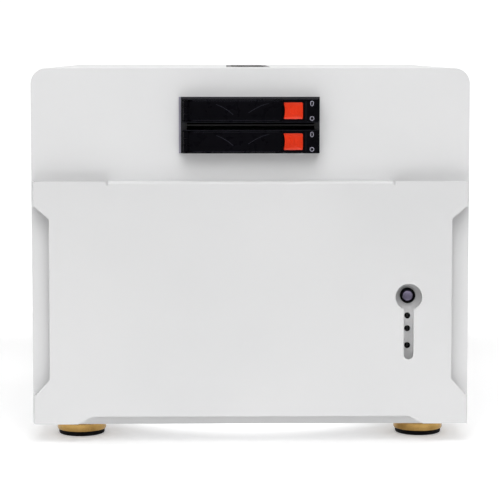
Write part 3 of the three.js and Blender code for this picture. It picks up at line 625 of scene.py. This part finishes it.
def build_foot(place):
    """A gold ring with chamfered rims, on a rubber pad with a stem inside it."""
    low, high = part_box(f"foot_ring_{place}")
    centre = ((low.x + high.x) / 2, (low.y + high.y) / 2, 0)
    radius = (high.x - low.x) / 2
    chamfer = 0.9 * MM
    bore = 12.3 * MM
    bm = bmesh.new()
    lathe_into(bm, [
        (bore, low.z),
        (radius - chamfer, low.z),
        (radius - 0.3 * MM, low.z + 0.3 * MM),
        (radius, low.z + chamfer),
        (radius, high.z - chamfer),
        (radius - 0.3 * MM, high.z - 0.3 * MM),
        (radius - chamfer, high.z),
        (bore, high.z),
        (bore, low.z),
    ], centre, "z", 96)
    weld(bm)
    piece(f"ring_{place}", bm, GOLD, "chassis", [f"foot_ring_{place}"])

    low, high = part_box(f"foot_pad_{place}")
    pad = (high.x - low.x) / 2
    stem = 12 * MM
    shoulder = 3.3 * MM
    bm = bmesh.new()
    lathe_into(bm, [
        (0, 0.4 * MM),
        (pad - 5 * MM, 0.4 * MM),
        (pad - 4.5 * MM, 0),
        (pad - 1.2 * MM, 0),
        (pad - 0.4 * MM, 0.3 * MM),
        (pad, 1.1 * MM),
        (pad, shoulder),
        (stem, shoulder),
        (stem, high.z),
        (0, high.z),
    ], centre, "z", 72)
    piece(f"pad_{place}", bm, RUBBER, "chassis", [f"foot_pad_{place}"])


# ------ top cover

SHEET = 1.2 * MM
TOP_RADIUS = 12 * MM
VENT_COLUMNS = 12
VENT_PITCH = 18 * MM
VENT_ROWS = (78 * MM, 142 * MM)
VENT_SLOT = (5 * MM, 32 * MM)
ROOF_OPENING_MARGIN = 5 * MM - 0.3 * MM  # the grille's hidden flange reaches this far past the opening


def side_vent_loops():
    """Two rows of upright slots, centred on the side."""
    first = -VENT_PITCH * (VENT_COLUMNS - 1) / 2
    return [
        slot_loop((first + VENT_PITCH * column, height), *VENT_SLOT)
        for height in VENT_ROWS
        for column in range(VENT_COLUMNS)
    ]


def build_top_cover():
    """One bent sheet: two sides with rows of vents, two round corners and the roof."""
    low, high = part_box("top_cover")
    vent_low, vent_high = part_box("top_vent")
    bm = bmesh.new()
    corner = high.z - TOP_RADIUS
    for x in (low.x, high.x):
        add_flat(bm, [rectangle((low.y, low.z), (high.y, corner))] + side_vent_loops(), facing_side, x)
    margin = ROOF_OPENING_MARGIN
    opening = rectangle(
        (vent_low.x + margin, vent_low.y + margin),
        (vent_high.x - margin, vent_high.y - margin),
    )
    roof = rectangle((low.x + TOP_RADIUS, low.y), (high.x - TOP_RADIUS, high.y))
    add_flat(bm, [roof, opening], facing_up, high.z)
    for sign in (-1, 1):
        bend = arc((high.x - TOP_RADIUS, corner), TOP_RADIUS, 0, 90, 20)
        front = [Vector((sign * x, low.y, z)) for x, z in bend]
        back = [Vector((sign * x, high.y, z)) for x, z in bend]
        add_strip(bm, front, back)
    weld(bm)
    bmesh.ops.recalc_face_normals(bm, faces=bm.faces)
    roof_face = max(bm.faces, key=lambda face: face.calc_center_median().z)
    if roof_face.normal.z < 0:
        bmesh.ops.reverse_faces(bm, faces=bm.faces)
    piece("cover_sheet", bm, WHITE, "chassis", ["top_cover"], 0.25 * MM, SHEET)


# ------ power button and status lights


def build_power_button():
    """A black collar, and a cap with a hollow in the middle and a raised rim."""
    low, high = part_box("power_button_bezel")
    centre = Vector(((low.x + high.x) / 2, 0, (low.z + high.z) / 2))
    outer = (high.x - low.x) / 2
    bore = 4.6 * MM
    bm = bmesh.new()
    lathe_into(bm, [
        (bore, high.y),
        (bore, low.y + 0.5 * MM),
        (bore + 0.3 * MM, low.y + 0.1 * MM),
        (bore + 0.6 * MM, low.y),
        (outer - 0.5 * MM, low.y),
        (outer - 0.1 * MM, low.y + 0.2 * MM),
        (outer, low.y + 0.6 * MM),
        (outer, high.y),
        (bore, high.y),
    ], centre, "y", 72)
    weld(bm)
    piece("button_collar", bm, BLACK, "chassis", ["power_button_bezel"])

    low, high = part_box("power_button_cap")
    radius = (high.x - low.x) / 2
    bm = bmesh.new()
    lathe_into(bm, [
        (0, low.y + 0.45 * MM),
        (radius * 0.35, low.y + 0.42 * MM),
        (radius * 0.6, low.y + 0.3 * MM),
        (radius - 0.9 * MM, low.y + 0.08 * MM),
        (radius - 0.65 * MM, low.y),
        (radius - 0.3 * MM, low.y + 0.08 * MM),
        (radius, low.y + 0.45 * MM),
        (radius, high.y),
        (0, high.y),
    ], centre, "y", 72)
    piece("button_face", bm, CAP, "power_button", ["power_button_cap"])


LIGHT_HEIGHTS = (98.2 * MM, 88.1 * MM, 74.8 * MM)


def build_status_lights():
    """Black domed lenses with a thin rim, one in each hole of the front plate."""
    low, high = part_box("status_light_pipe")
    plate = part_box("front_plate")[0].y
    radius = 1.75 * MM
    rim = 2.35 * MM
    lenses = bmesh.new()
    rims = bmesh.new()
    for height in LIGHT_HEIGHTS:
        centre = ((low.x + high.x) / 2, 0, height)
        lathe_into(lenses, [
            (0, plate - 0.55 * MM),
            (radius * 0.5, plate - 0.48 * MM),
            (radius * 0.85, plate - 0.25 * MM),
            (radius, plate + 0.05 * MM),
            (radius, plate + 0.6 * MM),
            (0, plate + 0.6 * MM),
        ], centre, "y", 32)
        lathe_into(rims, [
            (radius + 0.02 * MM, plate + 0.8 * MM),
            (radius + 0.02 * MM, plate - 0.15 * MM),
            (radius + 0.2 * MM, plate - 0.35 * MM),
            (rim - 0.1 * MM, plate - 0.25 * MM),
            (rim, plate - 0.02 * MM),
            (radius + 0.2 * MM, plate - 0.02 * MM),
            (radius + 0.2 * MM, plate + 0.8 * MM),
            (radius + 0.02 * MM, plate + 0.8 * MM),
        ], centre, "y", 32)
    piece("status_lenses", lenses, LENS, "chassis")
    piece("status_rims", rims, BLACK, "chassis")


# ------ 2.5-inch module

FUNNEL_LEFT = ((-26.5, 4.9), (-22.0, 2.9), (-17.5, 0.2), (-13.6, -2.9))
FUNNEL_RIGHT = ((-1.9, -1.7), (2.6, 1.1), (8.0, 3.9), (14.2, 5.9))
WINDOW_X = 47.1 * MM
WINDOW_HEIGHTS = (5.6 * MM, -5.9 * MM)


def build_ssd_lever(index):
    """Pull lever: a smooth bar with a shallow funnel of raised lines, on a two-barrel hinge."""
    low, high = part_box(f"ssd_lever_{index}")
    middle = box_middle(f"ssd_tray_{index}")[1]
    left = -46.5 * MM
    half = 7.9 * MM
    ridge = 0.16 * MM
    face = low.y + ridge
    bar_back = face + 4.8 * MM
    bm = bmesh.new()
    outline = rounded((left, middle - half), (high.x, middle + half), 0.9 * MM, 4)
    plate_into(bm, [outline], face, bar_back)
    neck = rectangle((-49.7 * MM, middle - half + 1 * MM), (left + 1 * MM, middle + half - 1 * MM))
    plate_into(bm, [neck], face + 0.9 * MM, face + 3.4 * MM)
    hinge = Vector((-49.7 * MM, low.y + 2.6 * MM, middle))
    for start, end in ((-7.7, -2.6), (-2.3, 2.3), (2.6, 7.7)):
        lathe_into(bm, [
            (0, start * MM),
            (2.2 * MM, start * MM),
            (2.45 * MM, start * MM + 0.25 * MM),
            (2.45 * MM, end * MM - 0.25 * MM),
            (2.2 * MM, end * MM),
            (0, end * MM),
        ], hinge, "z", 24)
    pin, reach = 1 * MM, 8.75 * MM
    lathe_into(bm, [(0, -reach), (pin, -reach), (pin, reach), (0, reach)], hinge, "z", 16)
    body = f"ssd_lever_{index}"
    piece(f"lever_bar_{index}", bm, BLACK, body, [body], 0.25 * MM)

    bm = bmesh.new()
    for path in (FUNNEL_LEFT, FUNNEL_RIGHT):
        points = [(u * MM, middle + v * MM) for u, v in path]
        ridge_into(bm, points, 0.34 * MM, low.y, face + 0.05 * MM)
    piece(f"lever_funnel_{index}", bm, SATIN_LINE_AND_HIGHLIGHT, body)
    # Two thin lines along the lever's top and bottom edges, lighter than the lever: painted highlights of
    # its edges.
    bm = bmesh.new()
    for height in (half - 0.55 * MM, -half + 0.35 * MM):
        line = rectangle((left + 2 * MM, middle + height), (high.x - 2 * MM, middle + height + 0.2 * MM))
        plate_into(bm, [line], low.y + 0.02 * MM, face + 0.05 * MM)
    piece(f"lever_edge_highlights_{index}", bm, SATIN_LINE_AND_HIGHLIGHT, body)


def build_release_button(index):
    """Orange-red push button with a hollow left edge, a sunk face and three grip ribs."""
    name = f"ssd_release_button_{index}"
    low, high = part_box(name)
    middle = (low.z + high.z) / 2
    half = (high.z - low.z) / 2
    corner = 0.9 * MM
    hollow = 0.75 * MM
    reach = half - corner
    sag_radius = (reach * reach + hollow * hollow) / (2 * hollow)
    spread = math.degrees(math.asin(reach / sag_radius))
    loop = arc((high.x - corner, low.z + corner), corner, -90, 0, 4)
    loop += arc((high.x - corner, high.z - corner), corner, 0, 90, 4)
    loop += [(low.x + 0.3 * MM, high.z), (low.x, high.z - 0.3 * MM)]
    loop += arc((low.x + hollow - sag_radius, middle), sag_radius, spread, -spread, 10)
    loop += [(low.x, low.z + 0.3 * MM), (low.x + 0.3 * MM, low.z)]
    bm = bmesh.new()
    plate_into(bm, [loop], low.y, high.y)
    dish(bm, Vector((0, -1, 0)), 1.1 * MM, 0.45 * MM)
    for offset in (-2.6 * MM, 0, 2.6 * MM):
        centre = (low.x + high.x) / 2 + offset + 0.4 * MM
        low_end = (centre - 0.35 * MM, middle - 3.6 * MM)
        rib = rounded(low_end, (centre + 0.35 * MM, middle + 3.6 * MM), 0.3 * MM, 3)
        plate_into(bm, [rib], low.y + 0.12 * MM, low.y + 0.7 * MM)
    piece(f"release_{index}", bm, RED, f"ssd_button_{index}", [name], 0.22 * MM)


def build_tray_marks(index):
    """Light windows with pale rims, and fine lighter lines along the tray's long edges as painted
    highlights.
    """
    low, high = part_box(f"ssd_tray_{index}")
    middle = box_middle(f"ssd_tray_{index}")[1]
    front = low.y
    proud = 0.12 * MM
    upper = middle + WINDOW_HEIGHTS[0]
    lower = middle + WINDOW_HEIGHTS[1]
    oblong = slot_loop((WINDOW_X, upper), 2.7 * MM, 4.2 * MM, 8)
    oblong_hole = slot_loop((WINDOW_X, upper), 1.5 * MM, 3.0 * MM, 8)
    bm = bmesh.new()
    plate_into(bm, [oblong, oblong_hole], front - proud, front + 0.3 * MM)
    rings = [circle((WINDOW_X, lower), 1.75 * MM, 32), circle((WINDOW_X, lower), 1.15 * MM, 32)]
    plate_into(bm, rings, front - proud, front + 0.3 * MM)
    piece(f"window_rims_{index}", bm, GREY_PRINT_AND_HIGHLIGHT, f"ssd_tray_{index}")
    bm = bmesh.new()
    for height, size in ((upper, 0.7 * MM), (lower, 1.1 * MM)):
        lathe_into(bm, [
            (0, front - 0.02 * MM),
            (size * 0.6, front + 0.02 * MM),
            (size, front + 0.15 * MM),
            (size, front + 2 * MM),
            (0, front + 2 * MM),
        ], (WINDOW_X, 0, height), "y", 24)
    piece(f"window_lenses_{index}", bm, LENS, f"ssd_tray_{index}")
    # Thin lines along the tray's top and bottom edges, lighter than the black face: painted highlights of
    # its edges; the upright divide line is drawn the same way.
    bm = bmesh.new()
    for v in (low.z + 0.15 * MM, high.z - 0.35 * MM):
        line = rectangle((low.x + 1 * MM, v), (high.x - 1 * MM, v + 0.2 * MM))
        plate_into(bm, [line], front - 0.06 * MM, front + 0.2 * MM)
    divide = rectangle((42.4 * MM, low.z + 1.5 * MM), (42.6 * MM, high.z - 1.5 * MM))
    plate_into(bm, [divide], front - 0.06 * MM, front + 0.2 * MM)
    piece(f"tray_lines_{index}", bm, SATIN_LINE_AND_HIGHLIGHT, f"ssd_tray_{index}")


def build_module_edge_highlight():
    """A pale grey strip on the folded left edge of the module's flange: a painted highlight where the edge
    catches the light.
    """
    low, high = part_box("ssd_cage")
    bm = bmesh.new()
    edge = rounded((low.x, low.z), (low.x + 1.5 * MM, high.z), 0.3 * MM, 3)
    plate_into(bm, [edge], low.y - 0.5 * MM, low.y + 0.4 * MM)
    piece("module_edge", bm, GREY_PRINT_AND_HIGHLIGHT, "chassis", bevel=0.15 * MM)


# ------ 3.5-inch trays

TRAY_COUNT = 8


def build_hdd_tray_details(index):
    """Air grille on the latch, a coloured catch and two light windows on the bezel."""
    low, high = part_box(f"hdd_latch_{index}")
    middle = (low.x + high.x) / 2
    front = low.y
    bm = bmesh.new()
    for row in range(11):
        height = low.z + 34 * MM + row * 4.6 * MM
        bar = rounded((middle - 9 * MM, height), (middle + 9 * MM, height + 2.2 * MM), 1 * MM, 3)
        plate_into(bm, [bar], front - 0.4 * MM, front + 0.4 * MM)
    piece(f"latch_grille_{index}", bm, DARK_GREY, f"hdd_latch_{index}", bevel=0.15 * MM)
    bm = bmesh.new()
    catch = rounded((middle - 6 * MM, low.z + 27 * MM), (middle + 6 * MM, low.z + 31 * MM), 1.2 * MM, 4)
    plate_into(bm, [catch], front - 0.9 * MM, front + 0.4 * MM)
    piece(f"latch_catch_{index}", bm, RED, f"hdd_latch_{index}", bevel=0.3 * MM)
    low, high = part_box(f"hdd_tray_{index}")
    bm = bmesh.new()
    for offset in (-4 * MM, 4 * MM):
        lathe_into(bm, [
            (0, low.y - 0.35 * MM),
            (0.9 * MM, low.y - 0.2 * MM),
            (1.3 * MM, low.y + 0.1 * MM),
            (1.3 * MM, low.y + 1 * MM),
            (0, low.y + 1 * MM),
        ], (middle + offset, 0, high.z - 3.2 * MM), "y", 24)
    piece(f"tray_lights_{index}", bm, LENS, f"hdd_tray_{index}")


# ------ backplanes

SOCKET_FROM_TRAY = (-11.3 * MM, -2.7 * MM)
SOCKET_HEIGHTS = (71.7 * MM, 114.3 * MM)
SOCKET_WALL = 2.6 * MM
SOCKET_END = 3 * MM
SOCKET_BACK = -3.1 * MM  # just in front of the board
CAPACITOR_HEIGHTS = (58 * MM, 166 * MM)


def build_sockets():
    """A black shell with a slot around each drive socket of the large backplane."""
    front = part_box("hdd_backplane")[0].y
    bm = bmesh.new()
    for index in range(1, TRAY_COUNT + 1):
        middle = box_middle(f"hdd_tray_{index}")[0]
        u0, u1 = (middle + offset for offset in SOCKET_FROM_TRAY)
        shell = rounded((u0, SOCKET_HEIGHTS[0]), (u1, SOCKET_HEIGHTS[1]), 0.8 * MM, 3)
        slot = rectangle(
            (u0 + SOCKET_WALL, SOCKET_HEIGHTS[0] + SOCKET_END),
            (u1 - SOCKET_WALL, SOCKET_HEIGHTS[1] - SOCKET_END),
        )
        plate_into(bm, [shell, slot], front - 0.25 * MM, SOCKET_BACK)
    piece("drive_sockets", bm, BLACK, "chassis", bevel=0.15 * MM)


def build_board_parts():
    """Capacitors and chips on the back of the large backplane."""
    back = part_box("hdd_backplane")[1].y
    metal = bmesh.new()
    black = bmesh.new()
    for index in range(1, TRAY_COUNT + 1):
        middle = box_middle(f"hdd_tray_{index}")[0]
        for height in CAPACITOR_HEIGHTS:
            lathe_into(metal, [
                (0, back + 5 * MM),
                (2.6 * MM, back + 5 * MM),
                (3 * MM, back + 4.6 * MM),
                (3 * MM, back + 0.9 * MM),
                (2.7 * MM, back + 0.7 * MM),
                (3 * MM, back + 0.4 * MM),
                (3 * MM, back),
                (0, back),
            ], (middle - 7 * MM, 0, height), "y", 24)
        chip = rounded((middle - 10.5 * MM, 126 * MM), (middle - 3.5 * MM, 136 * MM), 0.3 * MM, 2)
        plate_into(black, [chip], back, back + 1.2 * MM)
    piece("capacitors", metal, NICKEL, "chassis")
    piece("chips", black, BLACK, "chassis", bevel=0.1 * MM)


# ------ fans

FAN_HOLE = 52.5 * MM  # from the middle to each screw hole, sideways and upwards
FAN_SCREW_HOLE = 2.2 * MM
FAN_HUB = 20 * MM
GUARD_RINGS = (52 * MM, 37 * MM, 22 * MM)
WIRE = 1.0 * MM
BLADES = 7


def ring_path(centre, radius, depth, steps):
    """Points around a circle that faces the front."""
    return [Vector((u, depth, v)) for u, v in circle(centre, radius, steps)]


def build_fan_guard(index):
    """Three wire rings welded on a cross of wire that ends in four screw eyes."""
    name = f"fan_guard_{index}"
    low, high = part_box(name)
    u, v = box_middle(f"fan_frame_{index}")
    bm = bmesh.new()
    for radius in GUARD_RINGS:
        tube_into(bm, ring_path((u, v), radius, high.y - WIRE, 96), WIRE, closed=True)
    eye = 3.3 * MM
    depth = low.y + WIRE
    for corner in corners((u, v), FAN_HOLE):
        tube_into(bm, ring_path(corner, eye, depth, 28), WIRE, closed=True)
    reach = FAN_HOLE - eye / math.sqrt(2)
    for slope in (-1, 1):
        path = [Vector((u + offset, depth, v + slope * offset)) for offset in (-reach, 0, reach)]
        tube_into(bm, path, WIRE)
    piece(f"wire_guard_{index}", bm, NICKEL, "chassis", [name])


def build_fan_frame(index):
    """Square flanges front and back, a round duct, corner tubes and a motor on four struts."""
    name = f"fan_frame_{index}"
    low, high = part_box(name)
    u, v = box_middle(name)
    half = (high.x - low.x) / 2
    duct = 58 * MM
    flange = 3.6 * MM
    holes = [circle(corner, FAN_SCREW_HOLE, 20) for corner in corners((u, v), FAN_HOLE)]
    outline = rounded((u - half, v - half), (u + half, v + half), 6 * MM, 6)
    bm = bmesh.new()
    for front, back in ((low.y, low.y + flange), (high.y - flange, high.y)):
        plate_into(bm, [outline, circle((u, v), duct, 72)] + holes, front, back)
    tube = [circle((u, v), duct + 1.6 * MM, 72), circle((u, v), duct, 72)]
    plate_into(bm, tube, low.y + 0.3 * MM, high.y - 0.3 * MM)
    for corner in corners((u, v), FAN_HOLE):
        post = [circle(corner, 4.4 * MM, 24), circle(corner, FAN_SCREW_HOLE, 24)]
        plate_into(bm, post, low.y + 1 * MM, high.y - 1 * MM)
    strut_front, strut_back = high.y - 4.1 * MM, high.y - 0.6 * MM
    for quarter in range(4):
        turn = math.radians(90 * quarter + 25)
        swing = math.radians(14)
        bend = ((18 * MM, 0), (32 * MM, swing * 0.4), (46 * MM, swing * 0.8), (58.6 * MM, swing))
        path = [
            (u + radius * math.cos(turn + lean), v + radius * math.sin(turn + lean)) for radius, lean in bend
        ]
        ridge_into(bm, path, 3 * MM, strut_front, strut_back)
    plate_into(bm, [circle((u, v), FAN_HUB, 48)], strut_front, high.y - 0.3 * MM)
    piece(f"fan_housing_{index}", bm, SATIN_BLACK, "chassis", [name], 0.3 * MM)


def build_rotor(index):
    """A cup-shaped hub with seven swept and twisted blades, as many as the CAD's rotor."""
    name = f"fan_rotor_{index}"
    low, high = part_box(name)
    u, v = box_middle(f"fan_frame_{index}")
    hub = FAN_HUB
    tip = 55.4 * MM
    bm = bmesh.new()
    lathe_into(bm, [
        (0, low.y + 0.5 * MM),
        (hub - 8 * MM, low.y + 0.5 * MM),
        (hub - 7.5 * MM, low.y),
        (hub - 2 * MM, low.y),
        (hub - 0.6 * MM, low.y + 0.6 * MM),
        (hub, low.y + 2 * MM),
        (hub, high.y),
        (0, high.y),
    ], (u, 0, v), "y", 64)
    for blade in range(BLADES):
        start = 360 * blade / BLADES
        blade_into(bm, (u, v), (hub - 0.5 * MM, tip), (low.y + 1.2 * MM, high.y - 1.2 * MM), start)
    piece(f"fan_blades_{index}", bm, SATIN_BLACK, name, [name])


def blade_into(bm, centre, radii, depths, start):
    """Adds one closed blade to bm: a curved sheet from hub to tip, thin at its edges."""
    along, across = 10, 8
    part = bmesh.new()
    faces = ([], [])
    for i in range(along + 1):
        outward = i / along
        radius = radii[0] + (radii[1] - radii[0]) * outward
        sweep = start + 14 * outward * outward
        span = 34 - 4 * outward
        rows = ([], [])
        for j in range(across + 1):
            chord = j / across
            turn = math.radians(sweep + span * chord)
            rise = depths[0] + (depths[1] - depths[0]) * (0.5 + (chord - 0.5) * (1 - 0.25 * outward))
            camber = 1.6 * MM * math.sin(math.pi * chord)
            thick = 0.25 * MM + 0.55 * MM * math.sin(math.pi * chord)
            u, v = centre[0] + radius * math.cos(turn), centre[1] + radius * math.sin(turn)
            rows[0].append(part.verts.new((u, rise - camber - thick, v)))
            rows[1].append(part.verts.new((u, rise - camber + thick, v)))
        for side in (0, 1):
            faces[side].append(rows[side])
    for side in (0, 1):
        grid = faces[side]
        for first, second in zip(grid, grid[1:]):
            for j in range(across):
                part.faces.new((first[j], first[j + 1], second[j + 1], second[j]))
    rims = [
        [(grid_row[0], thin_row[0]) for grid_row, thin_row in zip(*faces)],
        [(grid_row[-1], thin_row[-1]) for grid_row, thin_row in zip(*faces)],
        list(zip(faces[0][0], faces[1][0])),
        list(zip(faces[0][-1], faces[1][-1])),
    ]
    for rim in rims:
        for (a, b), (c, d) in zip(rim, rim[1:]):
            part.faces.new((a, b, d, c))
    bmesh.ops.recalc_face_normals(part, faces=part.faces)
    copy_into(bm, part)


# ------ rear


def screw_into(bm, centre, seat, height=1.5 * MM, radius=3.1 * MM):
    """Adds a pan-head screw with a hexagon socket to bm: it stands out backwards from its seat."""
    head = circle(centre, radius, 28)
    plate_into(bm, [head, hexagon(centre, radius * 0.5)], seat + 0.3 * MM, seat + height)
    plate_into(bm, [head], seat, seat + 0.35 * MM)


def build_rear_screws():
    """Screws of the fans, the rear panel and the power supply window."""
    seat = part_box("rear_panel")[1].y
    guard_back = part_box("fan_guard_1")[1].y
    bm = bmesh.new()
    for index in (1, 2):
        for corner in corners(box_middle(f"fan_frame_{index}"), FAN_HOLE):
            screw_into(bm, corner, guard_back - 1.6 * MM)
    for sign in (-1, 1):
        for place in ((162, 24), (162, 152), (152, 284.5)):
            screw_into(bm, (sign * place[0] * MM, place[1] * MM), seat)
        for height in (59.5, 148.5):
            screw_into(bm, ((139.5 + sign * 13) * MM, height * MM), seat)
    piece("rear_screws", bm, NICKEL, "chassis", bevel=0.25 * MM)


def build_slot_cover(index):
    """Blank with rows of air slots and a bent tab for the retainer."""
    name = f"slot_cover_{index}"
    low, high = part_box(name)
    middle = (low.x + high.x) / 2
    sheet = 1 * MM
    holes = [
        slot_loop((middle + column * 4.4 * MM, low.z + 14 * MM + row * 8.2 * MM), 2.2 * MM, 5.8 * MM, 4)
        for column in (-1, 0, 1)
        for row in range(8)
    ]
    bm = bmesh.new()
    blade = rounded((low.x, low.z), (high.x, high.z), 1 * MM, 3)
    plate_into(bm, [blade] + holes, low.y, low.y + sheet)
    tab = rounded((low.x, low.y), (high.x, high.y), 1 * MM, 3)
    plate_into(bm, [tab], high.z - sheet, high.z, facing_up)
    piece(f"slot_blank_{index}", bm, ZINC, "chassis", [name], 0.15 * MM)


# ------ stage, lights and camera

BOWL_RADIUS = 4.2
BOWL_BEND = 1.2
BOWL_TOP = 5.0
WHITE_FLOOR_REACH = (0.5, 1.1)
FAR_FLOOR = 0.35
UNDER_GLOW = 0.7
UNDER_GLOW_REACH = (0.10, 0.19)
NEAR_GLOW = 0.26
NEAR_GLOW_REACH = (0.45, 0.9)
BACK_GLOW = 0.85
BACK_GLOW_REACH = (0.1, 0.9)
WALL_GLOW = 0.25
WALL_GLOW_REACH = (0.1, 1.0)
LIGHT_TARGET = Vector((0, -0.1, 0.16))
WORLD_LIGHT = 0.1
CAMERA_DISTANCE = 1.45  # from the front of the case
CAMERA_LEFT = 0.022
CAMERA_ABOVE_ROOF = 0.0135
CAMERA_TARGET_HEIGHT = 0.195


def larger_of(look, first, second):
    """The larger of two numbers."""
    return look.node("ShaderNodeMath", {0: first, 1: second}, "MAXIMUM").outputs["Value"]


def floor_distance(look):
    """Distance over the floor from the middle of the object."""
    flat = look.node("ShaderNodeVectorMath", {0: look.where, 1: (1, 1, 0)}, "MULTIPLY")
    return look.node("ShaderNodeVectorMath", {0: flat.outputs["Vector"]}, "LENGTH").outputs["Value"]


def floor_colour(look):
    """White near the object and grey farther off, so that less light comes up from below."""
    grey = map_range(look, floor_distance(look), *WHITE_FLOOR_REACH, 0.9, FAR_FLOOR)
    mottled = look.node("ShaderNodeMath", {0: look.noise(3, 2), 1: 0.01, 2: grey}, "MULTIPLY_ADD")
    look.feed(look.shader, {"Base Color": mottled.outputs["Value"]})


def floor_glow(look):
    """The floor glows under, near and behind the object, and the wall glows on every side."""
    distance = floor_distance(look)
    split = look.node("ShaderNodeSeparateXYZ", {"Vector": look.where})
    under = map_range(look, distance, *UNDER_GLOW_REACH, UNDER_GLOW, 0)
    near = map_range(look, distance, *NEAR_GLOW_REACH, NEAR_GLOW, 0)
    behind = map_range(look, split.outputs["Y"], *BACK_GLOW_REACH, 0, BACK_GLOW)
    wall = map_range(look, split.outputs["Z"], *WALL_GLOW_REACH, 0, WALL_GLOW)
    strength = larger_of(look, larger_of(look, under, near), larger_of(look, behind, wall))
    look.feed(look.shader, {"Emission Strength": strength, "Emission Color": (1, 1, 1, 1)})


def build_stage():
    """A pale floor that curves up into a round backdrop on every side."""
    curve = arc((BOWL_RADIUS - BOWL_BEND, BOWL_BEND), BOWL_BEND, -90, 0, 24)
    profile = [(0, 0.0)] + curve + [(BOWL_RADIUS, BOWL_TOP)]
    steps = 96
    bm = bmesh.new()
    middle = bm.verts.new((0, 0, 0))
    rings = [
        [bm.verts.new(turned_point((0, 0, 0), "z", reach, 2 * math.pi * step / steps, height))
         for step in range(steps)]
        for reach, height in profile[1:]
    ]
    for step in range(steps):
        after = (step + 1) % steps
        bm.faces.new((middle, rings[0][step], rings[0][after]))
        for low, high in zip(rings, rings[1:]):
            bm.faces.new((low[step], high[step], high[after], low[after]))
    mesh = bpy.data.meshes.new("backdrop")
    bm.to_mesh(mesh)
    bm.free()
    look = Look("pale_floor", (0.9, 0.9, 0.9), 0.8)
    floor_colour(look)
    floor_glow(look)
    mesh.materials.append(look.material)
    smooth(mesh)
    backdrop = bpy.data.objects.new("backdrop", mesh)
    bpy.context.scene.collection.objects.link(backdrop)


def add_light(name, around, height, distance, size, power):
    """A soft box aimed at the object: around and height are angles in degrees from the front."""
    data = bpy.data.lights.new(name, "AREA")
    data.shape = "RECTANGLE"
    data.size, data.size_y = size
    data.energy = power
    lamp = bpy.data.objects.new(name, data)
    turn, rise = math.radians(around), math.radians(height)
    flat = distance * math.cos(rise)
    offset = Vector((flat * math.sin(turn), -flat * math.cos(turn), distance * math.sin(rise)))
    lamp.location = LIGHT_TARGET + offset
    lamp.rotation_euler = (-offset).to_track_quat("-Z", "Y").to_euler()
    bpy.context.scene.collection.objects.link(lamp)


def build_lights():
    """Long soft boxes above the front, weaker ones at the sides and one behind."""
    add_light("front_fill", 0, 12, 2.3, (2.2, 0.6), 1.2)
    add_light("key", 0, 35, 2.0, (1.6, 0.5), 5.0)
    add_light("high_key", 0, 50, 1.9, (1.5, 0.5), 9.0)
    add_light("overhead", 0, 66, 1.8, (1.5, 0.5), 8.0)
    add_light("left_side", -40, 40, 1.9, (0.8, 0.8), 1.6)
    add_light("right_side", 40, 40, 1.9, (0.8, 0.8), 0.4)
    add_light("rear_fill", 165, 45, 2.2, (1.6, 1.0), 4.2)
    world = bpy.data.worlds.new("studio")
    world.use_nodes = True
    world.node_tree.nodes["Background"].inputs["Color"].default_value = (1, 1, 1, 1)
    world.node_tree.nodes["Background"].inputs["Strength"].default_value = WORLD_LIGHT
    bpy.context.scene.world = world
    bpy.context.scene.view_settings.view_transform = "Standard"


def build_camera():
    """Level with the roof and a little left of the middle, as a product camera stands."""
    low, high = CAD_BOX
    data = bpy.data.cameras.new("camera")
    data.sensor_width = 36
    data.lens = 135.9
    data.shift_x = -0.0016
    data.shift_y = -0.1136
    camera = bpy.data.objects.new("camera", data)
    camera.location = (-CAMERA_LEFT, low.y - CAMERA_DISTANCE, high.z + CAMERA_ABOVE_ROOF)
    target = Vector((0.0, low.y, CAMERA_TARGET_HEIGHT))
    camera.rotation_euler = (target - camera.location).to_track_quat("-Z", "Y").to_euler()
    bpy.context.scene.collection.objects.link(camera)
    bpy.context.scene.camera = camera


build_camera()
dress_nodes()
build_door()
for end in ("front", "rear"):
    for side in ("left", "right"):
        build_foot(f"{end}_{side}")
build_top_cover()
build_power_button()
build_status_lights()
build_module_edge_highlight()
for number in (1, 2):
    build_ssd_lever(number)
    build_release_button(number)
    build_tray_marks(number)
    build_fan_guard(number)
    build_fan_frame(number)
    build_rotor(number)
for number in range(1, TRAY_COUNT + 1):
    build_hdd_tray_details(number)
for number in range(1, 5):
    build_slot_cover(number)
build_sockets()
build_board_parts()
build_rear_screws()
build_stage()
build_lights()
